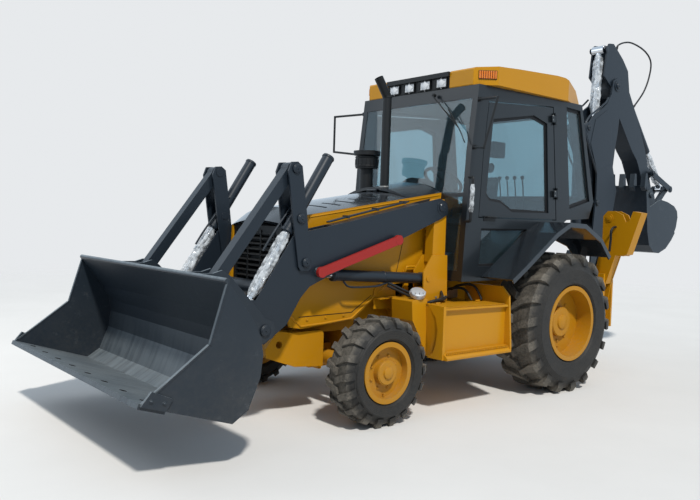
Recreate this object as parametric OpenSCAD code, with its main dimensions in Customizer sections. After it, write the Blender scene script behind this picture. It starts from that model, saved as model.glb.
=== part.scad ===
// Backhoe loader, standing as it parks: loader bucket rolled back just above
// the ground, backhoe folded and upright, stabilizers raised.
// Millimetres. X runs forward, Y to the machine's left, Z up, from the ground
// under the middle of the machine.
// Outlines are side views: each row is [x, z], with x counted forward from the
// rear axle and z up from the ground, unless a comment says otherwise.

/* [Stance] */
// Place of the rear axle, counted forward from the middle of the machine
rear_axle_x = -361.5; // [-420:0.5:-320]
// Distance between the axles
wheelbase = 2220; // [2150:5:2300]
// Distance between the middles of the front tyres
front_track = 1736; // [1700:2:1760]
// Distance between the middles of the rear tyres
rear_track = 1720; // [1700:2:1740]

/* [Front wheels] */
// Radius of the front tyre at its lugs' tips
front_tyre_r = 412; // [400:1:418]
// Width of the front tyre
front_tyre_w = 306; // [290:1:310]
// Radius of the front rim's flange
front_flange_r = 233; // [225:1:240]
// Width of the front rim
front_rim_w = 248; // [236:1:256]

/* [Rear wheels] */
// Number of lugs on each side of a tyre's tread
tyre_lugs = 18; // [14:1:20]
// Radius of the rear tyre at its lugs' tips
rear_tyre_r = 645; // [620:1:655]
// Width of the rear tyre
rear_tyre_w = 480; // [460:1:490]
// Radius of the rear rim's flange
rear_flange_r = 348; // [330:1:360]
// Width of the rear rim
rear_rim_w = 430; // [410:1:440]

/* [Chassis] */
// Distance of a frame rail's outer face from the middle
rail_y = 330; // [310:1:340]
// Thickness of a frame rail
rail_t = 30; // [20:1:36]
// Height of the rails' top over the rear axle
rail_top_z = 1000; // [990:1:1010]

/* [Hood] */
// Half width of the hood over its side panels
hood_half_w = 440; // [430:1:450]
// Thickness of the hood's panels
hood_t = 25; // [15:1:30]
// Rise of the hood's crown over its sides
hood_crown = 60; // [40:1:80]

/* [Cab] */
// Half width of the cab over its posts
cab_half_w = 750; // [740:1:760]
// Depth of a cab post, side wall or door
cab_wall = 50; // [40:1:60]
// Thickness of the cab's glass
glass_t = 6; // [5:1:10]
// Height of the cab floor's top
cab_floor_z = 1078; // [1070:1:1090]

/* [Loader] */
// Gap between the hood's side and an arm's middle plane
arm_off = 105; // [100:1:110]
// Clear gap between an arm's two plates
arm_gap = 104; // [100:1:108]
// Thickness of an arm's plate
arm_t = 12; // [10:1:14]
// Radius of the lift cylinders' lower pins
lift_pin_r = 24; // [20:1:26]
// Thickness of a tilt lever's plate
lever_t = 16; // [12:1:20]
// Radius of the loader's pins
pin_r = 28; // [24:1:32]
// Outer radius of the loader cylinders' barrels
barrel_r = 45; // [40:1:46]
// Radius of the loader cylinders' rods
rod_r = 27; // [22:1:30]
// Half width of the loader bucket over its side plates
bucket_half_w = 1190; // [1150:5:1200]
// Thickness of the loader bucket's shell
bucket_t = 16; // [10:1:20]

/* [Backhoe] */
// Half width of the boom over its plates
boom_half_w = 130; // [120:1:140]
// Thickness of a boom plate
boom_t = 20; // [14:1:24]
// Half width of the dipper over its plates
dipper_half_w = 105; // [95:1:110]
// Half width of the digging bucket over its side plates
digger_half_w = 320; // [280:5:330]
// Outer radius of the backhoe cylinders' barrels
hoe_barrel_r = 60; // [50:1:66]
// Radius of the backhoe cylinders' rods
hoe_rod_r = 35; // [28:1:38]
// Radius of the backhoe's pins
hoe_pin_r = 30; // [26:1:34]
// Place of the swing post's axis, from the rear axle
swing_x = -1450; // [-1470:5:-1440]

/* [Stabilizers] */
// Thickness of a stabilizer leg along the machine
leg_w = 120; // [100:1:120]
// Place of the legs' middle plane, from the rear axle
leg_x = -1206; // [-1210:1:-1200]

/* [Hidden] */

yellow = "#e8a317";
dark = "#2f353d";
black = "#1c1e20";
steel = "#c9ccd0";

// Running clearance of a pin in its bore
run = 0.05;
// Clearance between pieces that lie against each other
seat = 0.3;
// Clearance between pieces that move past each other
pass = 6;

// Distance of an arm's middle plane from the machine's middle
arm_y = hood_half_w + arm_off;

// Back end of the frame rails, against the backhoe's frame
frame_end_x = leg_x + leg_w / 2 + pass + 30 + seat;

// Distance of a steering pin from the machine's middle
kingpin_y = 700;

// Joints of the loader, each [x, z]
arm_pivot = [1300, 1670];
bucket_hinge = [3090, 745];
lift_base = [1440, 1060];
lift_eye = [2600, 1125];
lever_pin = [2750, 1220];
lever_trunnion = [2800, 1540];
lever_apex = [2855, 1898];
tilt_eye = [3190, 930];
bucket_ear = [3450, 1110];

// Joints of the backhoe, each [x, z]
boom_foot = [-1780, 850];
boom_base = [-1615, 1200];
boom_eye = [-1594, 2674];
dipper_pivot = [-2153, 3221];
dipper_base = [-1837, 1819];
dipper_eye = [-1935, 3625];
bucket_base = [-2330, 3430];
digger_pivot = [-3040, 1960];
idler_pin = [-3024, 2237];
rod_pin = [-3502, 2058];
digger_ear = [-3144, 1730];

module at_frame(tint) {
    color(tint) translate([rear_axle_x, 0, 0]) children();
}

// A side outline given its thickness, from y0 to y1
module plate(y0, y1, outline) {
    translate([0, (y0 + y1) / 2, 0])
        rotate([90, 0, 0])
            linear_extrude(abs(y1 - y0), center = true) polygon(outline);
}

// A round bar along Y at a side-view point
module bar_y(p, r, y0, y1, fn = 40) {
    translate([p[0], min(y0, y1), p[1]])
        rotate([-90, 0, 0]) cylinder(r = r, h = abs(y1 - y0), $fn = fn);
}

// A box from its low corner to its high corner
module block(lo, hi) {
    translate(lo) cube([hi[0] - lo[0], hi[1] - lo[1], hi[2] - lo[2]]);
}

// Children drawn along +Z from a are turned to run from a towards b
module aim(a, b, y = 0) {
    translate([a[0], y, a[1]])
        rotate([0, atan2(b[0] - a[0], b[1] - a[1]), 0]) children();
}

module both_sides() {
    for (side = [-1, 1]) scale([1, side, 1]) children();
}

function gap_between(a, b) = norm([b[0] - a[0], b[1] - a[1]]);

// A flat bar with round ends from one side-view point to another
module strap(a, b, r, y0, y1) {
    length = gap_between(a, b);
    bar_y(a, r, y0, y1);
    bar_y(b, r, y0, y1);
    // The bar is a little thinner and narrower than its round ends
    translate([0, min(y0, y1) + 1, 0]) aim(a, b)
        translate([-0.85 * r, 0, 0]) cube([1.7 * r, abs(y1 - y0) - 2, length]);
}

// A cylinder's barrel: eye at a, gland at its mouth part of the way to b
module barrel(a, b, y, r, length, eye_r, eye_w, bore, rod_r) {
    difference() {
        union() {
            aim(a, b, y) translate([0, 0, eye_r * 0.6])
                cylinder(r = r, h = length - eye_r * 0.6, $fn = 40);
            bar_y(a, eye_r, y - eye_w / 2, y + eye_w / 2);
        }
        bar_y(a, bore, y - eye_w, y + eye_w);
        aim(a, b, y) translate([0, 0, eye_r + 10])
            cylinder(r = r - 9, h = length - eye_r - 50, $fn = 40);
        aim(a, b, y) translate([0, 0, eye_r + 20])
            cylinder(r = rod_r + seat, h = length, $fn = 40);
    }
}

// A cylinder's rod: eye at b, running back into the barrel towards a
module rod(a, b, y, r, length, eye_r, eye_w) {
    bar_y(b, eye_r, y - eye_w / 2, y + eye_w / 2);
    aim(b, a, y) cylinder(r = r, h = length, $fn = 32);
}

module main_frame() {
    nose = wheelbase + 420;
    rail = [[nose, 640], [nose, 880], [1500, 900], [1100, rail_top_z],
        [frame_end_x, rail_top_z], [frame_end_x, 480], [-820, 480], [-420, 760],
        [420, 760], [900, 560], [1500, 560], [1900, 640]];
    tower_foot = [[1200, 868], [1490, 868], [1500, 1120], [1400, 1260], [1215, 1260]];
    tower_head = [[1228, 1200], [1228, 1690], [1260, 1740], [1340, 1740], [1372, 1690],
        [1385, 1200]];
    head = arm_gap / 2 - pass;
    fork = barrel_r + pass;
    at_frame(yellow) difference() {
        union() {
            both_sides() {
                plate(rail_y - rail_t, rail_y, rail);
                plate(arm_y - head, arm_y + head, tower_head);
                // The lift cylinder's eye sits in a fork at the tower's front
                difference() {
                    plate(arm_y - fork - 12, arm_y + fork + 12, tower_foot);
                    translate([1375, arm_y - fork, 990]) cube([200, 2 * fork, 400]);
                }
                block([1220, rail_y - 5, 868], [1360, arm_y + head, 960]);
                bar_y(arm_pivot, pin_r, arm_y - 70, arm_y + 76);
                bar_y(lift_base, lift_pin_r, arm_y - fork - 18, arm_y + fork + 18);
            }
            block([nose - 100, -rail_y + 5, 650], [nose - 20, rail_y - 5, 860]);
            // Cradle of the front axle's pin
            for (x = [wheelbase - 150, wheelbase + 120])
                block([x, -rail_y + 5, front_tyre_r - 70], [x + 30, rail_y - 5, 655]);
            block([1300, -rail_y + 5, 570], [1400, rail_y - 5, 640]);
            block([frame_end_x, -rail_y + 5, 500], [frame_end_x + 50, rail_y - 5, 990]);
        }
        translate([wheelbase - 200, 0, front_tyre_r]) rotate([0, 90, 0])
            cylinder(r = 30 + run, h = 400, $fn = 40);
    }
}

module counterweight() {
    half = hood_half_w - 40;
    at_frame(yellow) translate([wheelbase, 0, 0]) difference() {
        union() {
            both_sides() plate(rail_y + seat, half, [[708, 560], [700, 492], [435, 400], [162, 378],
                [162, 638], [180, 669], [468, 666], [603, 686]]);
            plate(-rail_y - 1, rail_y + 1, [[708, 560], [700, 492], [435, 400], [421, 398],
                [421, 668], [603, 686]]);
        }
        bar_y([585, 583], 28, -500, 500);
    }
}

module front_beam() {
    translate([wheelbase, 0, front_tyre_r]) {
        difference() {
            union() {
                rotate([-90, 0, 0]) translate([0, 0, -600]) cylinder(r = 62, h = 1200, $fn = 40);
                translate([-113, -150, -95]) cube([226, 300, 190]);
                both_sides() {
                    translate([-55, 585, -104]) cube([110, 40, 208]);
                    for (z = [-104, 78]) translate([-55, 600, z]) cube([110, 145, 26]);
                }
            }
            both_sides() translate([0, kingpin_y, -120]) cylinder(r = 22 + run, h = 240, $fn = 40);
        }
        translate([-160, 0, 0]) rotate([0, 90, 0]) cylinder(r = 30, h = 320, $fn = 40);
    }
}

module rear_beam() {
    translate([0, 0, rear_tyre_r]) {
        rotate([-90, 0, 0]) {
            translate([0, 0, -640]) cylinder(r = 95, h = 1280, $fn = 48);
            translate([0, 0, -130]) cylinder(r = 200, h = 260, $fn = 48);
            translate([0, 0, -905]) cylinder(r = 60 - run, h = 1810, $fn = 48);
        }
        both_sides() {
            translate([-130, 240, 0]) cube([260, 110, 760 - rear_tyre_r - seat]);
            translate([0, 600, 0]) rotate([-90, 0, 0]) cylinder(r = 150, h = 40, $fn = 48);
        }
    }
}

module axles() {
    at_frame(yellow) {
        front_beam();
        rear_beam();
    }
}

module engine() {
    front = wheelbase + 260;
    at_frame(black) {
        block([1500, -260, 660], [front, 260, 1430]);
        block([760, -210, 640 + seat], [1501, 210, 960]);
        for (x = [1560, front - 180])
            block([x, -rail_y + rail_t + seat, 700], [x + 120, rail_y - rail_t - seat, 800]);
        translate([200 + seat, 0, 645]) rotate([0, 90, 0]) cylinder(r = 45, h = 600, $fn = 32);
    }
}

// Side view of the hood's side, from its top rear corner by its knee to its nose
hood_rear = [1110, 1810];
hood_knee = [2600, 1570];
hood_nose = [2740, 1470];
function on_hood(x) = [x, hood_rear[1] + (x - hood_rear[0])
    * (hood_knee[1] - hood_rear[1]) / (hood_knee[0] - hood_rear[0])];

module hood_sides() {
    side = [[1186, 1033], on_hood(1140), hood_knee, hood_nose, [2766, 905],
        [2763, 804], [2737, 715], [2635, 698], [2123, 734], [1869, 919], [1758, 1010]];
    at_frame(yellow) both_sides() {
        plate(hood_half_w - hood_t, hood_half_w, side);
        block([1500, rail_y + seat, 868], [1560, hood_half_w - 5, 890]);
        block([1505, hood_half_w - hood_t, 880], [1555, hood_half_w - 5, 1060]);
        block([wheelbase + 340, rail_y + seat, 760], [wheelbase + 400, hood_half_w - 5, 860]);
    }
}

module grille() {
    inner = hood_half_w - hood_t - seat;
    at_frame(black) {
        difference() {
            plate(-inner, inner, [[2640 + seat, 720], [2730, 720], [2730, 1473], [2640 + seat, 1536]]);
            block([2600, -inner + 60, 800], [2800, inner - 60, 1400]);
        }
        for (z = [860:70:1350]) block([2675, -inner + 55, z], [2715, inner - 55, z + 22]);
    }
}

// Crown of the hood: an arch across the machine, drawn in the Y-Z plane
module hood_arch(crown) {
    big = (hood_half_w * hood_half_w + crown * crown) / (2 * crown);
    intersection() {
        difference() {
            translate([0, crown - big]) circle(r = big, $fn = 720);
            translate([0, crown - big]) circle(r = big - hood_t, $fn = 720);
        }
        translate([-hood_half_w, seat]) square([2 * hood_half_w, crown]);
    }
}

// The arch carried from one side-view point to another
module arched_cover(a, b, crown) {
    length = gap_between(a, b);
    translate([a[0], 0, a[1]])
        rotate([0, -atan2(b[1] - a[1], b[0] - a[0]), 0])
            rotate([90, 0, 90]) linear_extrude(length) hood_arch(crown);
}

module hood_lid() {
    mitre = hood_knee + 200 * unit(unit(left_of(hood_nose - hood_knee))
        + unit(left_of(hood_knee - hood_rear)));
    lower = 2 * hood_knee - mitre;
    at_frame(dark) difference() {
        union() {
            intersection() {
                arched_cover(on_hood(1560), on_hood(2640), hood_crown);
                plate(-500, 500, [[1500, 1500], lower, mitre, [1500, 1950]]);
            }
            intersection() {
                arched_cover(2 * hood_knee - (hood_knee * 0.7 + hood_nose * 0.3), hood_nose, hood_crown);
                plate(-500, 500, [lower, [2800, 1300], [2800, 1755], mitre]);
            }
            both_sides() {
                bar_y(lid_hinge, 9, 22, 60);
                plate(22, 60, [[1567, 1806], [1574, 1801], [1600, 1786], [1640, 1750],
                    [1580, 1760], [1570, 1788]]);
            }
        }
        bar_y(lid_hinge, 5 + run, -100, 100);
        for (i = [0:4]) both_sides()
            translate([1850 + 140 * i, 190, 1500]) rotate([0, 0, 25]) cube([30, 170, 400]);
    }
}

module rear_cowl() {
    at_frame(dark) difference() {
        union() {
            arched_cover(on_hood(1143), on_hood(1552), hood_crown + 40);
            both_sides() plate(hood_half_w - 60, hood_half_w - hood_t - seat,
                [on_hood(1150) - [0, 60], on_hood(1500) - [0, 60], on_hood(1500) + [0, 8],
                    on_hood(1150) + [0, 8]]);
            bar_y(lid_hinge, 9, -20, 20);
            plate(-20, 20, [[1574, 1801], [1574, 1819], [1540, 1822], [1540, 1795]]);
            bar_y(lid_hinge, 5, -66, 66);
        }
        translate([exhaust[0], exhaust[1], 1600]) cylinder(r = exhaust_r + seat, h = 500, $fn = 40);
        translate([cleaner[0], cleaner[1], 1600]) cylinder(r = 62 + seat, h = 500, $fn = 40);
    }
}

// Places of the exhaust stack and the air pre-cleaner, [x, y]
exhaust = [1480, 60];
exhaust_r = 40;
cleaner = [1420, -260];
// Hinge of the hood's lid, at the top of its rear edge
lid_hinge = [1574, 1810];

module stacks() {
    at_frame(black) {
        translate([exhaust[0] + 50, exhaust[1], 1430 + seat]) cylinder(r = 30, h = 300, $fn = 40);
        translate([exhaust[0], exhaust[1], 0]) {
            translate([-exhaust_r, -exhaust_r, 1700]) cube([120, 2 * exhaust_r, 30]);
            translate([0, 0, 1700]) cylinder(r = exhaust_r, h = 940, $fn = 40);
            translate([0, 0, 2640]) sphere(r = exhaust_r, $fn = 40);
            // The mouth leans forward
            translate([0, 0, 2640]) rotate([0, 35, 0]) difference() {
                cylinder(r = exhaust_r, h = 190, $fn = 40);
                translate([0, 0, 90]) cylinder(r = exhaust_r - 5, h = 200, $fn = 40);
            }
        }
        translate([cleaner[0], cleaner[1], 0]) {
            translate([0, 0, 1700]) cylinder(r = 62, h = 330, $fn = 40);
            translate([0, 0, 2020]) cylinder(r = 105, h = 110, $fn = 48);
            translate([0, 0, 2120]) cylinder(r = 60, h = 30, $fn = 40);
            translate([0, 0, 2140]) cylinder(r = 125, h = 40, $fn = 48);
        }
        // Intake pipe from the engine to the pre-cleaner
        translate([1520, -200, 1430 + seat]) cylinder(r = 30, h = 300, $fn = 40);
        translate([1400, -275, 1700]) cube([150, 100, 30]);
    }
}

// Outlines of a side box's end plates, each row [y, z]
function front_gusset(y) = [[y, 450], [y, 877], [y - 195, 885], [y - 160, 860], [y - 88, 780],
    [y - 62, 687], [y - 78, 564], [y - 107, 495], [y - 173, 450]];
function rear_plate(y) = [[500, 450], [500, 1000], [y - 80, 1008], [y, 930], [y + 32, 500], [y + 32, 450]];

// A side outline in the Y-Z plane given its thickness, from x0 to x1
module wall(x0, x1, outline) {
    translate([x0, 0, 0]) rotate([90, 0, 90]) linear_extrude(x1 - x0) polygon(outline);
}

module side_boxes() {
    outer = 1000;
    at_frame(yellow) both_sides() {
        // Body of the box, its outer face set in behind its rims
        plate(rail_y + seat, outer - 35, [[1620, 452], [1655, 862], [850, 846], [840, 452]]);
        plate(outer - 36, outer, [[1655, 846], [1656, 863], [850, 856], [850, 838]]);
        wall(1625, 1655, front_gusset(outer));
        wall(828, 848, rear_plate(outer));
        // Step along the box's foot
        wall(840, 1640, [[900, 450], [outer + 38, 450], [outer + 42, 466], [outer - 8, 508], [900, 508]]);
        // Tank ahead of the box, its front leaning back clear of the steered tyre
        plate(560, 800, [[1640, 480], [1690, 560], [1735, 650], [1800, 750], [1812, 905],
            [1800, 918], [1640, 922]]);
        translate([1716, 760, 910]) cylinder(r = 34, h = 40, $fn = 40);
    }
}

// A point's left-hand offset along a run of points, mitred at each corner
function unit(v) = v / norm(v);
function left_of(v) = [-v[1], v[0]];
function corner_offset(p, q, r, t) =
    let (a = left_of(unit(q - p)), n = unit(a + left_of(unit(r - q)))) q + n * t / (n * a);
function beside(run, t) = [for (i = [0:len(run) - 1])
    i == 0 ? run[0] + left_of(unit(run[1] - run[0])) * t
    : i == len(run) - 1 ? run[i] + left_of(unit(run[i] - run[i - 1])) * t
    : corner_offset(run[i - 1], run[i], run[i + 1], t)];
function backwards(run) = [for (i = [len(run) - 1:-1:0]) run[i]];
// A bent sheet of thickness t on the left of a run of points
function sheet(run, t) = concat(run, backwards(beside(run, t)));
function inset(loop, t) = let (n = len(loop)) [for (i = [0:n - 1])
    corner_offset(loop[(i + n - 1) % n], loop[i], loop[(i + 1) % n], t)];

module rear_frame() {
    front = leg_x + leg_w / 2 + pass;
    back = leg_x - leg_w / 2 - pass;
    at_frame(yellow) difference() {
        union() {
            block([front, -700, 480], [front + 30, 700, 1050]);
            block([back - 24, -700, 480], [back, 700, 980]);
            for (z = [480, 950]) block([back - 1, -400, z], [front + 1, 400, z + 30]);
            both_sides() block([back - 1, 385, 480], [front + 1, 410, 980]);
            for (z = [520, 900]) {
                block([swing_x, -110, z], [back - 20, 110, z + 40]);
                translate([swing_x, 0, z]) cylinder(r = 110, h = 40, $fn = 48);
            }
            both_sides() for (p = [leg_pivot, leg_base])
                translate([back - 30, p[0], p[1]]) rotate([0, 90, 0])
                    cylinder(r = leg_pin_r, h = front - back + 70, $fn = 40);
        }
        translate([swing_x, 0, 400]) cylinder(r = 50 + run, h = 700, $fn = 48);
    }
}

// Joints of a stabilizer, each [y, z]
leg_pivot = [600, 620];
leg_base = [470, 800];
leg_eye = [715, 1640];
leg_pin_r = 25;

module stabilizer() {
    outline = [[560, 560], [640, 560], [700, 940], [800, 1250], [893, 1245], [960, 1620],
        [900, 1600], [866, 1675], [776, 1713], [690, 1713], [640, 1660], [640, 1400],
        [560, 1000], [540, 640]];
    pad = [[880, 1250], [930, 1262], [1070, 1696], [976, 1712], [945, 1625]];
    web = [[695, 940], [796, 1252], [893, 1247], [955, 1600], [940, 1625], [870, 1272],
        [785, 1275], [680, 945]];
    at_frame(yellow) translate([leg_x, 0, 0]) difference() {
        rotate([90, 0, 90]) {
            for (x = [-leg_w / 2, leg_w / 2 - 15]) translate([0, 0, x])
                linear_extrude(15) polygon(outline);
            translate([0, 0, -leg_w / 2]) linear_extrude(leg_w) polygon(pad);
            translate([0, 0, -leg_w / 2 + 1]) linear_extrude(leg_w - 2) polygon(web);
        }
        translate([-200, leg_pivot[0], leg_pivot[1]]) rotate([0, 90, 0])
            cylinder(r = leg_pin_r + run, h = 400, $fn = 40);
    }
}

module stabilizer_left() { stabilizer(); }
module stabilizer_right() { scale([1, -1, 1]) stabilizer(); }

// A stabilizer's cylinder lies in the Y-Z plane between the leg's plates
leg_cylinder_turn = -atan2(leg_eye[0] - leg_base[0], leg_eye[1] - leg_base[1]);
leg_rod_r = 22;

module stabilizer_barrel() {
    at_frame(dark) translate([leg_x, leg_base[0], leg_base[1]]) difference() {
        union() {
            rotate([leg_cylinder_turn, 0, 0]) translate([0, 0, 30]) cylinder(r = 40, h = 530, $fn = 40);
            rotate([0, 90, 0]) cylinder(r = 44, h = 70, center = true, $fn = 40);
        }
        rotate([0, 90, 0]) cylinder(r = leg_pin_r + run, h = 200, center = true, $fn = 40);
        rotate([leg_cylinder_turn, 0, 0]) {
            translate([0, 0, 55]) cylinder(r = 32, h = 465, $fn = 40);
            translate([0, 0, 60]) cylinder(r = leg_rod_r + seat, h = 600, $fn = 40);
        }
    }
}

module stabilizer_rod() {
    at_frame(steel) translate([leg_x, leg_eye[0], leg_eye[1]]) {
        rotate([leg_cylinder_turn, 0, 0]) translate([0, 0, -790]) cylinder(r = leg_rod_r, h = 790, $fn = 32);
        rotate([0, 90, 0]) cylinder(r = 38, h = leg_w - 42, center = true, $fn = 40);
    }
}

module stabilizer_barrel_left() { stabilizer_barrel(); }
module stabilizer_barrel_right() { scale([1, -1, 1]) stabilizer_barrel(); }
module stabilizer_rod_left() { stabilizer_rod(); }
module stabilizer_rod_right() { scale([1, -1, 1]) stabilizer_rod(); }

// Thickness of the cab's floor, front, rear and top walls
cab_shell = 38;
// Half width of the windscreen's opening, and a side pane's distance from the middle
pane_y = cab_half_w - cab_wall - 10;
side_pane_y = cab_half_w - 30;
// A door's frame stands in its opening; the hinge lies along the leaning rear post
hinge_low = [-152, 1600];
hinge_high = [-32, 2660];
hinge_y = cab_half_w + 15;
// Middles of a door's two hinges, counted up the hinge line from its low end
hinge_at = [250, 960];
// Children drawn up +Z stand on the hinge line, at a distance up it
module at_hinge(up) {
    translate([hinge_low[0], hinge_y, hinge_low[1]])
        rotate([0, atan2(hinge_high[0] - hinge_low[0], hinge_high[1] - hinge_low[1]), 0])
            translate([0, 0, up]) children();
}

cab_side = [[1183, 1040], [1115, 2154], [1046, 2738], [-496, 2741], [-768, 1797],
    [-700, 1620], [-319, 1600], [640, 1040]];
door_side = [[985, 1600], [955, 2155], [905, 2600], [-20, 2660], [-140, 1600]];
door_window = [[842, 2460], [266, 2555], [60, 2500], [-20, 1660], [536, 1653], [700, 1730],
    [860, 1748], [905, 1795]];
quarter_window = [[-234, 2690], [-470, 2680], [-700, 1797], [-358, 1711]];
low_window = [[951, 1500], [300, 1500], [645, 1164], [971, 1170]];

module cab_frame() {
    inner = cab_half_w - cab_wall;
    beyond = cab_half_w + 150;
    at_frame(dark) union() {
        difference() {
            plate(-cab_half_w, cab_half_w, cab_side);
            plate(-inner, inner, inset(cab_side, cab_shell));
            plate(-beyond, beyond, inset(door_side, -8));
            plate(-beyond, beyond, quarter_window);
            plate(-beyond, beyond, low_window);
            block([1000, -pane_y, 1800], [1300, pane_y, 2620]);
            both_sides() block([1000, 480, 1130], [1300, pane_y, 1770]);
            block([-900, -600, 1850], [-400, 600, 2670]);
            block([-300, -640, 2600], [950, 640, 2800]);
        }
        both_sides() {
            block([650, rail_y - rail_t, rail_top_z + seat], [750, rail_y, 1045]);
            block([-250, rail_y - rail_t, rail_top_z + seat], [-150, rail_y, 1540]);
            for (s = hinge_at) {
                for (d = [-55, 33]) at_hinge(s + d) cylinder(r = 12, h = 22, $fn = 24);
                at_hinge(s - 50) cylinder(r = 6, h = 100, $fn = 24);
                for (d = [-55, 33]) at_hinge(s + d)
                    translate([-50, cab_half_w - 5 - hinge_y, 0]) cube([48, hinge_y + 5 - cab_half_w, 22]);
            }
        }
    }
}

// Plan of the roof, each row [x, y]; its front corners are cut off for the amber lamps
roof_plan = [[1050, -680], [1050, 680], [880, 820], [-200, 790], [-600, 640],
    [-600, -640], [-200, -790], [880, -820]];
lamp_bar_y = 405;

// Children drawn along +X and behind Y = 0 stand on the roof's left front corner
module roof_corner() {
    run = roof_plan[2] - roof_plan[1];
    translate([roof_plan[1][0], roof_plan[1][1], 0]) rotate([0, 0, atan2(run[1], run[0])]) children();
}

module cab_roof() {
    side = [[1046, 2738 + seat], [1050, 2744], [1050, 2874], [1034, 2890], [960, 2895],
        [594, 2920], [-10, 2952], [-140, 2950], [-460, 2880], [-600, 2780], [-590, 2744],
        [-496, 2741 + seat]];
    at_frame(yellow) difference() {
        intersection() {
            plate(-850, 850, side);
            translate([0, 0, 2500]) linear_extrude(600) polygon(roof_plan);
        }
        block([1012 - seat, -lamp_bar_y - seat, 2700], [1200, lamp_bar_y + seat, 3000]);
        both_sides() roof_corner() block([45 - seat, -90, 2788 - seat], [205 + seat, 30 + seat, 2862 + seat]);
    }
}

module cab_glass() {
    front = [[1175, 1110], [1110, 2154], [1054, 2640]];
    at_frame("#9fb8b4") {
        intersection() {
            plate(-pane_y + seat, pane_y - seat, sheet(front, glass_t));
            block([1000, -pane_y + seat, 1800.3], [1300, pane_y - seat, 2619.7]);
        }
        both_sides() intersection() {
            plate(480.3, pane_y - seat, sheet(front, glass_t));
            block([1000, 480, 1130.3], [1300, pane_y, 1769.7]);
        }
        both_sides() plate(side_pane_y, side_pane_y + glass_t, inset(quarter_window, 0.3));
        both_sides() plate(side_pane_y, side_pane_y + glass_t, inset(low_window, 0.3));
        intersection() {
            plate(-599.7, 599.7, sheet([[-745, 1800], [-480, 2720]], glass_t));
            block([-900, -600, 1850.3], [-400, 600, 2669.7]);
        }
    }
}

module cab_controls() {
    at_frame(black) {
        block([880, -250, cab_floor_z + seat], [1080, 250, 1703]);
        translate([930, 0, 1703]) rotate([0, 90, 0]) cylinder(r = 247, h = 150, $fn = 72);
        translate([900, 0, 1600]) rotate([0, -35, 0]) {
            cylinder(r = 40, h = 420, $fn = 32);
            translate([0, 0, 420]) rotate_extrude($fn = 48) translate([190, 0]) circle(r = 16, $fn = 24);
            translate([-190, -15, 405]) cube([380, 30, 20]);
        }
    }
}

module seat() {
    // The cab's floor slopes up towards the rear, over the axle
    slope = (cab_side[6][1] - cab_side[7][1]) / (cab_side[7][0] - cab_side[6][0]);
    rise = cab_shell * norm([1, slope]) + 1;
    foot = [for (x = [480, 120]) [x, cab_side[7][1] + (cab_side[7][0] - x) * slope + rise]];
    at_frame("#26282b") {
        plate(-180, 180, [foot[0], [480, 1475], [120, 1475], foot[1]]);
        block([60, -250, 1470], [540, 250, 1580]);
        plate(-240, 240, [[60, 1560], [170, 1570], [100, 2160], [-10, 2160]]);
    }
}

module fenders() {
    crown = [[935, 1080], [760, 1190], [330, 1480], [130, 1575], [-120, 1565],
        [-400, 1430], [-565, 1260]];
    at_frame(dark) both_sides() {
        plate(cab_half_w + seat, 1100, sheet(crown, 14));
        plate(1086, 1100, sheet(crown, 42));
        plate(cab_half_w + seat, cab_half_w + 14, concat(crown,
            [[-480, 1230], [-340, 1340], [0, 1440], [400, 1340], [820, 1060]]));
    }
}

// A bent tube through a run of points; its legs reach a little past its corners
module tube(run, r) {
    for (i = [1:len(run) - 1]) {
        leg = run[i] - run[i - 1];
        length = norm(leg);
        translate(run[i - 1]) rotate([0, acos(leg[2] / length), atan2(leg[1], leg[0])])
            translate([0, 0, -r / 2]) cylinder(r = r, h = length + r, $fn = 10);
    }
}

// Loops that carry the mirrors; the left one is swung forward
module mirrors() {
    foot = cab_half_w + 14;
    at_frame(black) {
        both_sides() for (p = [[1088, 2195], [1040, 2607]]) bar_y(p, 20, cab_half_w + seat, foot + 10, 24);
        tube([[1088, foot, 2195], [1369, 1100, 2150], [1282, 1150, 2553], [1040, foot, 2607]], 11);
        tube([[1088, -foot, 2195], [1088, -1180, 2243], [1088, -1180, 2610], [1040, -foot, 2607]], 11);
    }
}

// A dark bar with four lamps under its visor, and an amber lamp on each front corner
module lamps() {
    at_frame("#e9e9e4") {
        block([1012, -lamp_bar_y, 2742], [1044, lamp_bar_y, 2884]);
        block([1040, -lamp_bar_y, 2842], [1070, lamp_bar_y, 2884]);
        for (y = [-309:206:309]) block([1040, y - 63, 2752], [1054, y + 63, 2832]);
        both_sides() roof_corner() block([45, -5, 2788], [205, 30, 2862]);
    }
}

module door(side) {
    at_frame(dark) scale([1, side, 1]) difference() {
        union() {
            plate(cab_half_w - cab_wall + 2, cab_half_w - 2, door_side);
            for (s = hinge_at) {
                at_hinge(s - 30) cylinder(r = 12, h = 60, $fn = 24);
                at_hinge(s - 30) cube([60, 8, 60]);
                at_hinge(s - 30) translate([30, cab_half_w - 8 - hinge_y, 0])
                    cube([30, 16 + hinge_y - cab_half_w, 60]);
            }
        }
        plate(600, 900, door_window);
        for (s = hinge_at) at_hinge(s - 60) cylinder(r = 6 + run, h = 120, $fn = 24);
    }
}

module door_glass(side) {
    at_frame("#9fb8b4") scale([1, side, 1]) plate(side_pane_y, side_pane_y + glass_t, inset(door_window, 0.3));
}

module door_left() { door(1); }
module door_right() { door(-1); }
module door_left_glass() { door_glass(1); }
module door_right_glass() { door_glass(-1); }

arm_side = [[1225, 1660], [1255, 1720], [1330, 1745], [2310, 1530], [2720, 1450], [2830, 1440],
    [3150, 960], [3215, 960], [3230, 900], [3180, 745], [3150, 680], [3080, 640], [2890, 770],
    [2770, 960], [2690, 1040], [2590, 1082], [1300, 1575], [1235, 1610]];

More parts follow.
